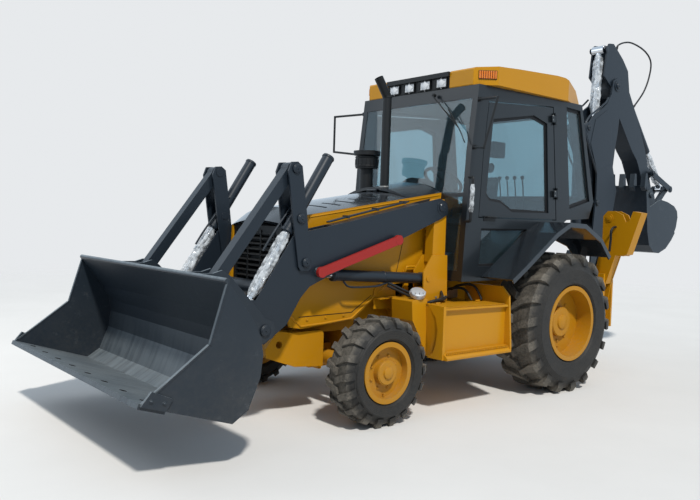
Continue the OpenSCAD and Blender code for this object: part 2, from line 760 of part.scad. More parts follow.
module loader_arms() {
    gap = arm_gap / 2;
    at_frame(dark) union() {
        both_sides() difference() {
            union() {
                plate(arm_y - gap - arm_t, arm_y - gap, arm_side);
                plate(arm_y + gap, arm_y + gap + arm_t, arm_side);
                plate(arm_y - gap - 1, arm_y + gap + 1,
                    [[1560, 1478], [1552, 1490], [2180, 1250], [2176, 1238]]);
                plate(arm_y - gap - 1, arm_y + gap + 1,
                    [[1560, 1694], [1557, 1682], [2310, 1518], [2480, 1485], [2482, 1497], [2312, 1530]]);
                for (p = [arm_pivot, lever_pin, bucket_hinge])
                    bar_y(p, 62, arm_y + gap, arm_y + gap + arm_t + 4);
                bar_y(bucket_hinge, 62, arm_y - gap - arm_t, arm_y + gap + arm_t);
                bar_y(lever_pin, pin_r - run, arm_y - gap - arm_t - 30, arm_y + gap + arm_t + 30);
            }
            bar_y(arm_pivot, pin_r + run, arm_y - 200, arm_y + 200);
            bar_y(bucket_hinge, pin_r + 4 + run, arm_y - 200, arm_y + 200);
        }
        // Cross tube that ties the arms together ahead of the hood
        bar_y([2945, 1005], 60, -arm_y + gap + 1, arm_y - gap - 1);
    }
}

module safety_prop() {
    y = arm_y + arm_gap / 2 + arm_t + seat;
    at_frame("#c8321e") union() {
        strap([2617, 1148], [1845, 1390], 40, y + 30, y + 60);
        bar_y([2617, 1148], 20, y, y + 40);
        bar_y([1900, 1373], 20, y, y + 40);
    }
}

module tilt_levers() {
    inner = arm_gap / 2 + arm_t + pass;
    outline = [[2697, 1180], [2720, 1160], [2790, 1160], [2812, 1190], [2870, 1540], [2920, 1880],
        [2895, 1945], [2840, 1950], [2800, 1920], [2752, 1600]];
    at_frame(dark) both_sides() {
        difference() {
            union() {
                for (y = [-inner - lever_t, inner])
                    plate(arm_y + y, arm_y + y + lever_t, outline);
                bar_y(lever_apex, pin_r, arm_y - inner - 5, arm_y + inner + 5);
            }
            bar_y(lever_pin, pin_r, arm_y - 200, arm_y + 200);
            bar_y(lever_trunnion, 30 + run, arm_y - 200, arm_y + 200);
        }
    }
}

module tilt_links() {
    at_frame(dark) both_sides() difference() {
        strap(lever_apex, bucket_ear, 48, arm_y - 45, arm_y + 45);
        bar_y(lever_apex, pin_r + run, arm_y - 200, arm_y + 200);
    }
}

bucket_floor = [[4270, 490], [4110, 440], [3670, 300], [3560, 370], [3480, 560], [3462, 700],
    [3480, 800], [3545, 930], [3722, 1158]];

module loader_bucket() {
    ear = arm_gap / 2 + arm_t + pass;
    cheek = concat(bucket_floor, [[3838, 788]]);
    at_frame(dark) {
        plate(-bucket_half_w + 1, bucket_half_w - 1, sheet(bucket_floor, -bucket_t));
        // Cutting edge under the lip
        plate(-bucket_half_w, bucket_half_w, sheet([[4270, 494], [4106, 442]], 20));
        both_sides() {
            plate(bucket_half_w - bucket_t, bucket_half_w, cheek);
            difference() {
                for (y = [-ear - 20, ear]) plate(arm_y + y, arm_y + y + 20,
                    [[3470, 650], [3100, 655], [3020, 690], [3000, 745], [3020, 800], [3090, 835],
                        [3380, 1140], [3440, 1180], [3510, 1160], [3730, 1165], [3550, 930], [3480, 800]]);
                bar_y(bucket_hinge, pin_r + 3, arm_y - 300, arm_y + 300);
            }
            bar_y(bucket_hinge, pin_r + 4, arm_y - ear - 26, arm_y + ear + 26);
        }
    }
}

module lift_barrels() {
    at_frame(dark) both_sides()
        barrel(lift_base, lift_eye, arm_y, barrel_r, 1000, 50, 84, lift_pin_r + run, rod_r);
}

module lift_rods() {
    at_frame(steel) both_sides() rod(lift_base, lift_eye, arm_y, rod_r, 995, 42, arm_gap - 12);
}

module tilt_barrels() {
    length = 668;
    back = 563;
    at_frame(dark) both_sides() difference() {
        union() {
            aim(lever_trunnion, tilt_eye, arm_y) translate([0, 0, -back])
                cylinder(r = barrel_r, h = length, $fn = 40);
            bar_y(lever_trunnion, 30, arm_y - 90, arm_y + 90);
        }
        aim(lever_trunnion, tilt_eye, arm_y) {
            translate([0, 0, -back + 20]) cylinder(r = barrel_r - 9, h = length - 60, $fn = 40);
            translate([0, 0, -back + 30]) cylinder(r = rod_r + seat, h = length, $fn = 40);
        }
    }
}

module tilt_rods() {
    at_frame(steel) both_sides() rod(lever_trunnion, tilt_eye, arm_y, rod_r, 780, 42, arm_gap - 12);
}

module knuckle() {
    at_frame(yellow) translate([wheelbase, 0, front_tyre_r]) {
        translate([0, kingpin_y, -73]) cylinder(r = 58, h = 146, $fn = 40);
        translate([0, kingpin_y, -104]) cylinder(r = 22, h = 208, $fn = 40);
        translate([0, kingpin_y, 0]) rotate([-90, 0, 0]) {
            cylinder(r = 55, h = 65, $fn = 40);
            cylinder(r = 40 - run, h = 210, $fn = 40);
        }
    }
}

module knuckle_left() { knuckle(); }
module knuckle_right() { scale([1, -1, 1]) knuckle(); }

// A wheel's own axis is Z with its outer side up; this stands it on the machine
module stood(x, z, y, side) {
    translate([x, side * y, z]) rotate([-90 * side, 0, 0]) children();
}

module rim(flange, half, hub_r, hub_in, hub_out, bore, disc_h) {
    seat_r = flange - 25;
    difference() {
        union() {
            rotate_extrude($fn = 64) polygon([[seat_r - 14, -half], [flange, -half], [flange, -half + 12],
                [seat_r, -half + 20], [seat_r, half - 20], [flange, half - 12], [flange, half],
                [seat_r - 14, half]]);
            translate([0, 0, disc_h]) cylinder(r = seat_r - 5, h = 16, $fn = 64);
            translate([0, 0, -hub_in]) cylinder(r = hub_r, h = hub_in + hub_out, $fn = 48);
        }
        translate([0, 0, -hub_in - 10]) cylinder(r = bore, h = hub_in + 60, $fn = 48);
    }
}

module front_rim(side) {
    at_frame(yellow) stood(wheelbase, front_tyre_r, front_track / 2, side)
        rim(front_flange_r, front_rim_w / 2, 95, 95, 110, 40, 45);
}

module rear_rim(side) {
    at_frame(yellow) stood(0, rear_tyre_r, rear_track / 2, side)
        rim(rear_flange_r, rear_rim_w / 2, 140, 190, 95, 60, 40);
}

module rim_front_left() { front_rim(1); }
module rim_front_right() { front_rim(-1); }
module rim_rear_left() { rear_rim(1); }
module rim_rear_right() { rear_rim(-1); }

// A lug's outline on the tread of a tyre, each row [across, forward]: across
// from the tyre's middle, and forward in the way that the wheel's front rises
function lug_plan(half, front, nose, bend, end) = [[-8, -nose], [half * 0.45, front - bend],
    [half - 2, front * 1.5 - end], [half - 2, front * 1.5 + end], [half * 0.45, front + bend],
    [-8, nose]];

// The tyre's outline stands on its lugs' tips with groove 0, and on the
// grooves between them with their depth
module tyre_body(r, w, flange, rim_w, groove) {
    bead = flange - 25 + seat;
    in_rim = rim_w / 2 - 20 - seat;
    top = r - groove;
    shoulder = w / 2 - 14 - groove * 0.5;
    crown = w / 2 - 44 - groove * 0.7;
    half = [[bead, in_rim], [flange, in_rim], [flange + 25, w / 2 - 12], [(flange + r) / 2, w / 2],
        [top - 42, shoulder], [top, crown]];
    rotate_extrude($fn = 72) polygon(concat(half, [for (i = [5:-1:0]) [half[i][0], -half[i][1]]]));
}

// Lugs lean forward towards the tyre's sides, so the two sides of a machine mirror each other
module tyre(r, w, flange, rim_w, side, lugs, depth, plan) {
    tyre_body(r, w, flange, rim_w, depth);
    intersection() {
        tyre_body(r, w, flange, rim_w, 0);
        for (s = [-1, 1], i = [1:lugs]) rotate(360 / lugs * (i + s / 4))
            translate([r - 2 * depth - 30, 0, 0]) rotate([90, 0, 90])
                linear_extrude(3 * depth + 30) polygon([for (p = plan) [-side * p[1], s * p[0]]]);
    }
}

module front_tyre(side) {
    at_frame(black) stood(wheelbase, front_tyre_r, front_track / 2, side)
        tyre(front_tyre_r, front_tyre_w, front_flange_r, front_rim_w, side, tyre_lugs, 22,
            lug_plan(front_tyre_w / 2, 34, 26, 22, 30));
}

module rear_tyre(side) {
    at_frame(black) stood(0, rear_tyre_r, rear_track / 2, side)
        tyre(rear_tyre_r, rear_tyre_w, rear_flange_r, rear_rim_w, side, tyre_lugs, 36,
            lug_plan(rear_tyre_w / 2, 74, 34, 34, 38));
}

module tyre_front_left() { front_tyre(1); }
module tyre_front_right() { front_tyre(-1); }
module tyre_rear_left() { rear_tyre(1); }
module tyre_rear_right() { rear_tyre(-1); }

module swing_post() {
    at_frame(dark) union() {
        translate([swing_x, 0, 566]) cylinder(r = 100, h = 328, $fn = 48);
        translate([swing_x, 0, 520]) cylinder(r = 50, h = 420, $fn = 48);
        plate(-95, 95, [[swing_x, 600], [swing_x, 885], [-1568, 890], [-1770, 925], [-1790, 775]]);
        bar_y(boom_foot, 75, -boom_half_w + boom_t + pass, boom_half_w - boom_t - pass);
        both_sides() plate(hoe_barrel_r + pass, hoe_barrel_r + pass + 20, [[-1560, 860], [-1560, 1200],
            [-1590, 1255], [-1640, 1255], [-1670, 1200], [-1790, 880]]);
        bar_y(boom_foot, hoe_pin_r, -boom_half_w - 14, boom_half_w + 14);
        bar_y(boom_base, hoe_pin_r, -94, 94);
    }
}

module boom() {
    side = [[-1732, 780], [-1772, 1547], [-1809, 1891], [-1801, 2212], [-1606, 2515],
        [-1521, 2653], [-1711, 2841], [-1950, 2985], [-2038, 3115], [-2064, 3269],
        [-2141, 3312], [-2245, 3284], [-2282, 3200], [-2202, 2655], [-2170, 2521],
        [-2132, 2256], [-2184, 2127], [-2238, 1976], [-2072, 1300], [-1922, 780], [-1822, 750]];
    back_cover = [[-2132, 2256], [-2184, 2127], [-2238, 1976], [-2132, 1540], [-2112, 1545],
        [-2218, 1976], [-2164, 2127], [-2112, 2256]];
    at_frame(dark) difference() {
        union() {
            both_sides() {
                plate(boom_half_w - boom_t, boom_half_w, side);
                bar_y(boom_eye, 60, boom_half_w - boom_t - 15, boom_half_w + 4);
                for (p = [boom_foot, dipper_pivot]) bar_y(p, 62, boom_half_w - 5, boom_half_w + 10);
            }
            plate(-boom_half_w + 1, boom_half_w - 1, back_cover);
            bar_y(dipper_base, hoe_pin_r, -boom_half_w - 8, boom_half_w + 8);
            bar_y(dipper_pivot, hoe_pin_r, -boom_half_w - 12, boom_half_w + 12);
        }
        bar_y(boom_foot, hoe_pin_r + run, -300, 300);
    }
}

module dipper() {
    side = [[-1944, 3640], [-1984, 3700], [-2074, 3710], [-2290, 3560], [-2414, 3440],
        [-2467, 3193], [-2614, 2988], [-2766, 2755], [-2898, 2538], [-2995, 2300], [-3070, 2110],
        [-3125, 1990], [-3110, 1915], [-3050, 1875], [-2980, 1890], [-2945, 1960], [-2900, 2075],
        [-2805, 2240], [-2717, 2380], [-2588, 2492], [-2292, 2832], [-2104, 3080],
        [-2064, 3195], [-1900, 3311]];
    at_frame(dark) union() {
        difference() {
            union() {
                plate(-dipper_half_w, dipper_half_w, side);
                bar_y(idler_pin, 60, -dipper_half_w, dipper_half_w);
                bar_y(idler_pin, 28, -170, 170);
            }
            // Slot for the dipper cylinder's rod and its eye
            plate(-85, 85, [[-1742, 3750], [-1742, 3050], [-2067, 3050], [-2067, 3300], [-2082, 3500],
                [-2082, 3750]]);
            // Slot for the bucket cylinder's eye
            plate(-56, 56, [[-2262, 3600], [-2262, 3410], [-2284, 3391], [-2413, 3238], [-2490, 3146],
                [-2700, 3146], [-2700, 3600]]);
            bar_y(dipper_pivot, hoe_pin_r + run, -300, 300);
            bar_y(digger_pivot, hoe_pin_r + run, -300, 300);
        }
        bar_y(bucket_base, hoe_pin_r, -68, 68);
    }
}

digger_shell = [[-2580, 2060], [-2614, 1847], [-2660, 1500], [-2720, 1330], [-2830, 1245],
    [-2960, 1232], [-3130, 1290], [-3270, 1400], [-3350, 1490], [-3196, 1612], [-3100, 1650],
    [-2990, 1700], [-2960, 1790]];

module digging_bucket() {
    ear = dipper_half_w + pass;
    cheek = concat([for (i = [0:7]) digger_shell[i]], [[-3370, 1560], [-3400, 1690], [-3380, 1770],
        [-3300, 1830], [-3120, 1880], [-2960, 1900], [-2880, 1880], [-2700, 1800]]);
    bracket = [[-2990, 1690], [-2965, 1790], [-2962, 1960], [-3000, 2030], [-3070, 2035],
        [-3130, 1960], [-3200, 1770], [-3205, 1700], [-3190, 1606], [-3100, 1642]];
    at_frame(dark) union() {
        plate(-digger_half_w + 1, digger_half_w - 1, sheet(digger_shell, -16));
        both_sides() {
            plate(digger_half_w - 16, digger_half_w, cheek);
            plate(ear, ear + 25, bracket);
        }
        for (i = [-2:2]) plate(i * 145 - 28, i * 145 + 28,
            [[-2592, 2040], [-2602, 2050], [-2590, 2200], [-2575, 2200], [-2560, 2040]]);
        bar_y(digger_pivot, hoe_pin_r, -ear - 30, ear + 30);
    }
}

module bucket_idler() {
    y = dipper_half_w + pass + 25 + pass;
    at_frame(dark) both_sides() difference() {
        union() {
            strap(idler_pin, rod_pin, 42, y, y + 15);
            bar_y(rod_pin, 26, 46, y + 22);
        }
        bar_y(idler_pin, 28 + run, 0, 300);
    }
}

module bucket_link() {
    at_frame(dark) difference() {
        union() {
            both_sides() strap(rod_pin, digger_ear, 45, 55, 95);
            bar_y(digger_ear, 46, -80, 80);
        }
        bar_y(rod_pin, 26 + run, -300, 300);
    }
}

module boom_barrel() {
    at_frame(dark)
        barrel(boom_base, boom_eye, 0, hoe_barrel_r, 1080, 62, 112, hoe_pin_r + run, hoe_rod_r);
}

module boom_rod() {
    at_frame(steel) rod(boom_base, boom_eye, 0, hoe_rod_r, 1180, 55, 180);
}

module dipper_barrel() {
    at_frame(dark)
        barrel(dipper_base, dipper_eye, 0, hoe_barrel_r, 1020, 62, 92, hoe_pin_r + run, hoe_rod_r);
}

module dipper_rod() {
    at_frame(steel) rod(dipper_base, dipper_eye, 0, hoe_rod_r, 1000, 50, 150);
}

module bucket_barrel() {
    at_frame(dark) barrel(bucket_base, rod_pin, 0, hoe_barrel_r - 10, 1200, 54, 84,
        hoe_pin_r + run, hoe_rod_r - 5);
}

module bucket_rod() {
    at_frame(steel) rod(bucket_base, rod_pin, 0, hoe_rod_r - 5, 1250, 45, 80);
}

main_frame();
counterweight();
axles();
engine();
hood_sides();
grille();
rear_cowl();
stacks();
side_boxes();
rear_frame();
cab_frame();
cab_roof();
cab_glass();
cab_controls();
seat();
fenders();
mirrors();
lamps();
hood_lid();
door_left();
door_left_glass();
door_right();
door_right_glass();
loader_arms();
safety_prop();
tilt_levers();
tilt_links();
loader_bucket();
lift_barrels();
lift_rods();
tilt_barrels();
tilt_rods();
knuckle_left();
knuckle_right();
rim_front_left();
rim_front_right();
tyre_front_left();
tyre_front_right();
rim_rear_left();
rim_rear_right();
tyre_rear_left();
tyre_rear_right();
swing_post();
boom();
dipper();
digging_bucket();
bucket_idler();
bucket_link();
boom_barrel();
boom_rod();
dipper_barrel();
dipper_rod();
bucket_barrel();
bucket_rod();
stabilizer_left();
stabilizer_right();
stabilizer_barrel_left();
stabilizer_barrel_right();
stabilizer_rod_left();
stabilizer_rod_right();
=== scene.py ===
"""Looks of a backhoe loader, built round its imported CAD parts."""
import math

import bmesh
import bpy
from mathutils import Matrix, Vector, noise


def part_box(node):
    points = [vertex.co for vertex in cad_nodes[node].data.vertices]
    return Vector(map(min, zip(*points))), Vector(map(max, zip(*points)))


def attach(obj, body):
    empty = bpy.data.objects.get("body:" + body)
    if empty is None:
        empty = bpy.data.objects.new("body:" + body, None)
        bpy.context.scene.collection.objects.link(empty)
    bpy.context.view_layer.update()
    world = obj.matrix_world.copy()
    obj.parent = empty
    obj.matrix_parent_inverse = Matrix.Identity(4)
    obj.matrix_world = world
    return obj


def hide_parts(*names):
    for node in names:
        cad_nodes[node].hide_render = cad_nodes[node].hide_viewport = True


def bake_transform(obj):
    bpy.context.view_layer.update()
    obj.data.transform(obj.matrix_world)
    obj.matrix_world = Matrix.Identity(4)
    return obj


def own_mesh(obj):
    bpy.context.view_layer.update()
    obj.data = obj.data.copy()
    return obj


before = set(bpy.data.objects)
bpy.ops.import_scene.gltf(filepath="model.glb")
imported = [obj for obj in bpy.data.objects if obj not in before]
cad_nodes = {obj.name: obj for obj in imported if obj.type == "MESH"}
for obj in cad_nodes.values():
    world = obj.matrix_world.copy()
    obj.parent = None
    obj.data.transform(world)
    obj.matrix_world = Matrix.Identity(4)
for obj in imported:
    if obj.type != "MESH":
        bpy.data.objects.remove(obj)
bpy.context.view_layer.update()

# ---------------------------------------------------------------- camera
# The view from ahead of the machine's left front corner, a few steps away, at
# eye height and tilted by less than two degrees.

camera_place = (5.6095, 5.0063, 1.5641)
camera_right = Vector((-0.76928, 0.63813, 0.03156))
camera_up = Vector((-0.00411, -0.05434, 0.99851))
camera_turn = Matrix((camera_right, camera_up, camera_right.cross(camera_up))).transposed()
camera = bpy.data.objects.new("camera", bpy.data.cameras.new("camera"))
bpy.context.scene.collection.objects.link(camera)
camera.matrix_world = Matrix.Translation(camera_place) @ camera_turn.to_4x4()
camera.data.sensor_width = 36
camera.data.lens = 38.22
camera.data.clip_end = 200
bpy.context.scene.camera = camera

# ---------------------------------------------------------------- ground and light
# A pale, even yard that fades out into the backdrop, under a cool and even sky. A
# warm sun with soft edges stands high on the side that the camera sees, and one
# big soft lamp fills in from ahead on the other side.


class Wire:
    """A socket in a material. Python's operators on it add Math nodes."""

    def __init__(self, tree, socket=None):
        self.tree, self.socket = tree, socket

    def node(self, kind, settings=None, inputs=None, out=0):
        """Adds a node: its settings first, then the values or links of its sockets."""
        added = self.tree.nodes.new(kind)
        for key, value in (settings or {}).items():
            setattr(added, key, value)
        for key, value in (inputs or {}).items():
            if isinstance(value, Wire):
                self.tree.links.new(value.socket, added.inputs[key])
            else:
                added.inputs[key].default_value = value
        return Wire(self.tree, added.outputs[out])

    def show(self, output="ShaderNodeOutputMaterial"):
        """Ends the material, or the world, with this shader."""
        self.tree.links.new(self.socket, self.tree.nodes.new(output).inputs["Surface"])

    def math(self, operation, *values):
        """Adds a Math node on these values."""
        return self.node("ShaderNodeMath", {"operation": operation}, dict(enumerate(values)))

    def __add__(self, other):
        return self.math("ADD", self, other)

    def __sub__(self, other):
        return self.math("SUBTRACT", self, other)

    def __rsub__(self, other):
        return self.math("SUBTRACT", other, self)

    def __mul__(self, other):
        return self.math("MULTIPLY", self, other)

    __radd__, __rmul__ = __add__, __mul__

    def between(self, low, high):
        """0 below low, 1 above high and a smooth step between them."""
        return self.node("ShaderNodeMapRange", {"interpolation_type": "SMOOTHSTEP"},
                         {"Value": self, "From Min": low, "From Max": high})

    def mix(self, colour_a, colour_b):
        """A colour that goes from a to b as this value goes from 0 to 1. A Mix node's
        sockets for colours are numbers 6 and 7, and its colour comes out of number 2."""
        return self.node("ShaderNodeMix", {"data_type": "RGBA"},
                         {"Factor": self, 6: colour_a, 7: colour_b}, out=2)

    def clouds(self, size, detail=3.0, rough=0.5):
        """Even noise from 0 to 1, with its blobs about size metres wide, at this place."""
        return self.node("ShaderNodeTexNoise", None, {
            "Vector": self, "Scale": 1 / size, "Detail": detail, "Roughness": rough})

    def stretched(self, factors):
        """This place with its x, y and z multiplied, so that clouds there turn to streaks."""
        return self.node("ShaderNodeVectorMath", {"operation": "MULTIPLY"},
                         {0: self, 1: factors})

    def length(self):
        """How long this vector is."""
        return self.node("ShaderNodeVectorMath", {"operation": "LENGTH"}, {0: self}, "Value")


def new_material(name):
    """An empty material, and a wire on its tree."""
    material = bpy.data.materials.new(name)
    material.use_nodes = True
    material.node_tree.nodes.clear()
    return material, Wire(material.node_tree)


def yard_material():
    """Pale, faintly cloudy ground that turns clear far out, so that no horizon shows."""
    material, wire = new_material("yard")
    place = wire.node("ShaderNodeTexCoord", out="Object")
    far = place.length().between(6.5, 17)
    colour = place.clouds(1.4, 8, 0.6).mix((0.70, 0.69, 0.67, 1), (0.80, 0.79, 0.77, 1))
    ground = wire.node("ShaderNodeBsdfDiffuse", None, {"Color": colour})
    clear = wire.node("ShaderNodeBsdfTransparent")
    wire.node("ShaderNodeMixShader", None, {0: far, 1: ground, 2: clear}).show()
    return material


yard_r = 40
yard_mesh = bpy.data.meshes.new("yard")
yard_mesh.from_pydata([(-yard_r, -yard_r, 0), (yard_r, -yard_r, 0), (yard_r, yard_r, 0),
                       (-yard_r, yard_r, 0)], [], [(0, 1, 2, 3)])
yard = bpy.data.objects.new("yard", yard_mesh)
bpy.context.scene.collection.objects.link(yard)
yard.data.materials.append(yard_material())

world = bpy.data.worlds.new("daylight")
world.use_nodes = True
world.node_tree.nodes.clear()
air = Wire(world.node_tree)
seen = air.node("ShaderNodeLightPath", out="Is Camera Ray")
shiny = air.node("ShaderNodeLightPath", out="Is Glossy Ray")
through = air.node("ShaderNodeLightPath", out="Is Transmission Ray")
backdrop = air.node("ShaderNodeBackground", None,
                    {"Color": (0.80, 0.82, 0.84, 1), "Strength": 1})
sky = air.node("ShaderNodeBackground", None, {"Color": (0.66, 0.82, 1.0, 1), "Strength": 0.48})
mirrored = air.node("ShaderNodeBackground", None,
                    {"Color": (0.72, 0.86, 1.0, 1), "Strength": 0.95})
shaded = air.node("ShaderNodeMixShader", None, {0: shiny, 1: sky, 2: mirrored})
plain = seen.math("MAXIMUM", seen, through)
air.node("ShaderNodeMixShader", None, {0: plain, 1: shaded, 2: backdrop}).show(
    "ShaderNodeOutputWorld")
bpy.context.scene.world = world
bpy.context.scene.view_settings.view_transform = "Standard"

aimed_at = Vector((0, 0, 1))
for lamp_name, kind, strength, width, stand in (
        ("sun", "SUN", 2.9, math.radians(4), (2.5, 5.5, 8.5)),
        ("soft_box", "AREA", 110, 6, (6.5, -3.5, 5.5))):
    lamp = bpy.data.objects.new(lamp_name, bpy.data.lights.new(lamp_name, kind))
    bpy.context.scene.collection.objects.link(lamp)
    lamp.data.energy = strength
    if kind == "SUN":
        lamp.data.angle = width
        lamp.data.color = (1, 0.96, 0.9)
    else:
        lamp.data.size = width
    lamp.location = stand
    lamp.rotation_euler = (aimed_at - Vector(stand)).to_track_quat("-Z", "Y").to_euler()

# ---------------------------------------------------------------- frame, axles and front weight
# Welded steel rails, the cast front weight, both axles and the backhoe's frame, in
# yellow enamel that is rubbed at its edges and dusty low down. Zinc-plated bolts
# hold the weight and the frame and stand on the loader towers.

DUST = (0.24, 0.20, 0.145, 1)


def middle(node):
    """The middle of a CAD node's box, in metres."""
    return tuple((low + high) / 2 for low, high in zip(*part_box(node)))


rear_axle_x, _, rear_axle_z = middle("rim_rear_left")
front_axle_x, _, front_axle_z = middle("rim_front_left")


def surface(name, colour, rough, grain=0.0, grain_size=0.004, metallic=0.0, coat=0.0,
            dust=0.3, wear=None, edge=0.003, spread=0.06, scratch=0.0, shine=0.3, painted_sky_sheen=None):
    """A hard surface: its colour drifts a little, its edges are rounded, dust lies on its
    flat and low faces, and wear, a colour, shows at its sharp edges and in scratches.
    The last argument, a colour, is a painted sky reflection: it lightens faces that look up, in
    streaks."""
    material, wire = new_material(name)
    place = wire.node("ShaderNodeTexCoord", out="Object")
    facing = wire.node("ShaderNodeTexCoord", out="Normal")
    up = wire.node("ShaderNodeSeparateXYZ", None, {0: facing}, "Z")
    height = wire.node("ShaderNodeSeparateXYZ", None, {0: place}, "Z")
    broad = place.clouds(0.45, 5, 0.6)
    fine = place.clouds(0.03, 6, 0.65)
    bright = tuple(min(1, c * (1 + spread)) for c in colour) + (1,)
    dim = tuple(c * (1 - spread) for c in colour) + (1,)
    tone = broad.mix(dim, bright)
    rounded = wire.node("ShaderNodeBevel", {"samples": 4}, {"Radius": edge})
    if wear:
        # The rounded normal leaves the flat one only beside an edge
        flat = wire.node("ShaderNodeNewGeometry", out="Normal")
        square = wire.node("ShaderNodeVectorMath", {"operation": "DOT_PRODUCT"},
                           {0: rounded, 1: flat}, "Value")
        rubbed = (1 - square).between(0.03, 0.2) * fine.between(0.42, 0.62)
        if scratch:
            lines = place.stretched((1, 14, 1.5)).clouds(0.12, 6, 0.7).between(0.56, 0.68)
            rubbed = rubbed.math("MAXIMUM", rubbed, lines * broad.between(0.35, 0.6) * scratch)
        tone = rubbed.mix(tone, wear + (1,))
    # Painted reflection of the sky: a lighter grey in streaks on faces that look up
    if painted_sky_sheen:
        sheen_streaks = place.stretched((1, 9, 1)).clouds(0.5, 6, 0.65) * 0.8 + broad * 0.5
        tone = (up.between(-0.1, 0.8) * sheen_streaks.between(0.25, 0.8)).mix(tone, painted_sky_sheen + (1,))
    # Dust rests on faces that look up, and low down
    resting = up.between(0.3, 0.95) * 0.55 + (1 - height.between(0.15, 1.1)) * 0.8
    lying = resting * (broad * 0.6 + fine * 0.7).between(0.42, 0.95) * dust
    tone = lying.math("MINIMUM", lying, 0.85).mix(tone, DUST)
    body = {"Base Color": tone, "Roughness": rough + (fine - 0.5) * 0.12 + lying * 0.45,
            "Metallic": metallic, "Specular IOR Level": shine, "Coat Weight": coat,
            "Coat Roughness": 0.12, "Normal": rounded}
    if grain:
        body["Normal"] = wire.node("ShaderNodeBump", None, {
            "Strength": grain, "Distance": 0.001, "Height": place.clouds(grain_size, 2, 0.5),
            "Normal": rounded})
    wire.node("ShaderNodeBsdfPrincipled", None, body).show()
    return material


def finish_nodes(material, *names):
    """Gives these CAD nodes a material."""
    for name in names:
        slots = cad_nodes[name].material_slots
        if not slots:
            cad_nodes[name].data.materials.append(material)
        for s in slots:
            s.material = material


def spot(x, y, z):
    """A place given in millimetres: forward from the rear axle, left, and up from the ground."""
    return Vector((rear_axle_x + x / 1000, y / 1000, z / 1000))


def made(name, form, material, body, smooth=35, chamfer=0.0):
    """Turns a bmesh into a piece that rides on a body, with its sharp edges chamfered.
    Without a body, it is left on none."""
    bmesh.ops.recalc_face_normals(form, faces=form.faces)
    if chamfer:
        sharp = [e for e in form.edges if len(e.link_faces) == 2 and e.calc_face_angle() > 0.6]
        bmesh.ops.bevel(form, geom=sharp, offset=chamfer / 1000, segments=2, affect="EDGES",
                        clamp_overlap=True)
    mesh = bpy.data.meshes.new(name)
    form.to_mesh(mesh)
    form.free()
    for face in mesh.polygons:
        face.use_smooth = True
    mesh.set_sharp_from_angle(angle=math.radians(smooth))
    piece = bpy.data.objects.new(name, mesh)
    bpy.context.scene.collection.objects.link(piece)
    mesh.materials.append(material)
    if body:
        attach(piece, body)
    return piece


def lathe(form, at, axis, profile, sides=32):
    """Revolves rows of (radius, distance along the axis), in millimetres, about an axis
    through a place."""
    turn = Vector(axis).to_track_quat("Z", "X").to_matrix()
    rings = [[form.verts.new(at + turn @ Vector((r * math.cos(a), r * math.sin(a), h)) / 1000)
              for a in (2 * math.pi * i / sides for i in range(sides))] for r, h in profile]
    for low, high in zip(rings, rings[1:]):
        for i in range(sides):
            form.faces.new((low[i - 1], low[i], high[i], high[i - 1]))
    form.faces.new(rings[0][::-1])
    form.faces.new(rings[-1])


def bolt(form, at, axis, r=10):
    """A washer under a hexagon head with a chamfered top."""
    lathe(form, at, axis, [(r * 1.6, -1), (r * 1.6, 2.5), (r, 2.5)], 20)
    lathe(form, at, axis, [(r * 1.05, 2), (r * 1.05, r * 0.8), (r * 0.85, r * 0.95)], 6)


enamel = surface("yellow_enamel", (0.52, 0.235, 0.004), rough=0.36, grain=0.12,
                 grain_size=0.006, coat=0.08, dust=0.16, wear=(0.20, 0.085, 0.015), shine=0.2)
finish_nodes(enamel, "main_frame", "counterweight", "axles", "rear_frame")
zinc = surface("zinc", (0.34, 0.33, 0.31), rough=0.38, grain=0.1, metallic=0.9, dust=0.15)

form = bmesh.new()
for side in (-1, 1):
    for x, y, z in ((2580, 330.5, 690), (2580, 330.5, 830), (1240, 603, 900), (1340, 603, 900)):
        bolt(form, spot(x, side * y, z), (0, side, 0), 11)
    for z in (540, 700, 930):
        bolt(form, spot(-1104, side * 560, z), (1, 0, 0), 10)
made("frame_bolts", form, zinc, "chassis", 30)

# ---------------------------------------------------------------- side boxes and tank
# Folded sheet boxes in yellow enamel, bolted beside the rails under the cab, with
# a serrated step, lids on their tops and a bare filler cap on the left tank. Valve
# blocks stand inboard of them, and rubber hoses run over them.

finish_nodes(enamel, "side_boxes")


def solid(form, outline, along, low, high):
    """A closed outline of places, given thickness along an axis, from low to high in metres."""
    along = Vector(along)
    under = [form.verts.new(p + along * low) for p in outline]
    over = [form.verts.new(p + along * high) for p in outline]
    form.faces.new(under[::-1])
    form.faces.new(over)
    for i in range(len(under)):
        form.faces.new((under[i - 1], under[i], over[i], over[i - 1]))


def slab(form, outline, y0, y1):
    """A side view, rows of (x, z) in millimetres, given thickness from y0 to y1."""
    solid(form, [spot(x, 0, z) for x, z in outline], (0, 1, 0), y0 / 1000, y1 / 1000)


def brick(form, low, high):
    """A block between two opposite corners, in millimetres."""
    slab(form, [(low[0], low[2]), (high[0], low[2]), (high[0], high[2]), (low[0], high[2])],
         low[1], high[1])


tooth_pitch = 20.3
form = bmesh.new()
for side in (-1, 1):
    # Teeth along the outer edge of the step
    for i in range(38):
        x = 862 + i * tooth_pitch
        slab(form, [(x, 494), (x + 11, 494), (x + 8, 508), (x + 3, 508)],
             side * 1001, side * 1026)
    # Lid on the top of the box, with its folded front edge and two hinges
    slab(form, [(880, 858), (1610, 863), (1610, 869), (880, 864)], side * 765, side * 985)
    for x in (980, 1480):
        lathe(form, spot(x, side * 766, 872), (1, 0, 0), [(7, -28), (7, 28)], 12)
    # Rib on the hood's lower cover
    slab(form, [(1690, 905), (1905, 895), (1905, 903), (1690, 913)], side * 441, side * 520)
made("box_trim", form, enamel, "chassis", 30, 0.8)

filler_place = spot(1716, 760, 948)
filler_axis = (0.25, 0.45, 1)
form = bmesh.new()
lathe(form, filler_place, filler_axis,
      [(36, -6), (60, -2), (64, 6), (64, 34), (57, 42), (30, 45), (1, 46)], 40)
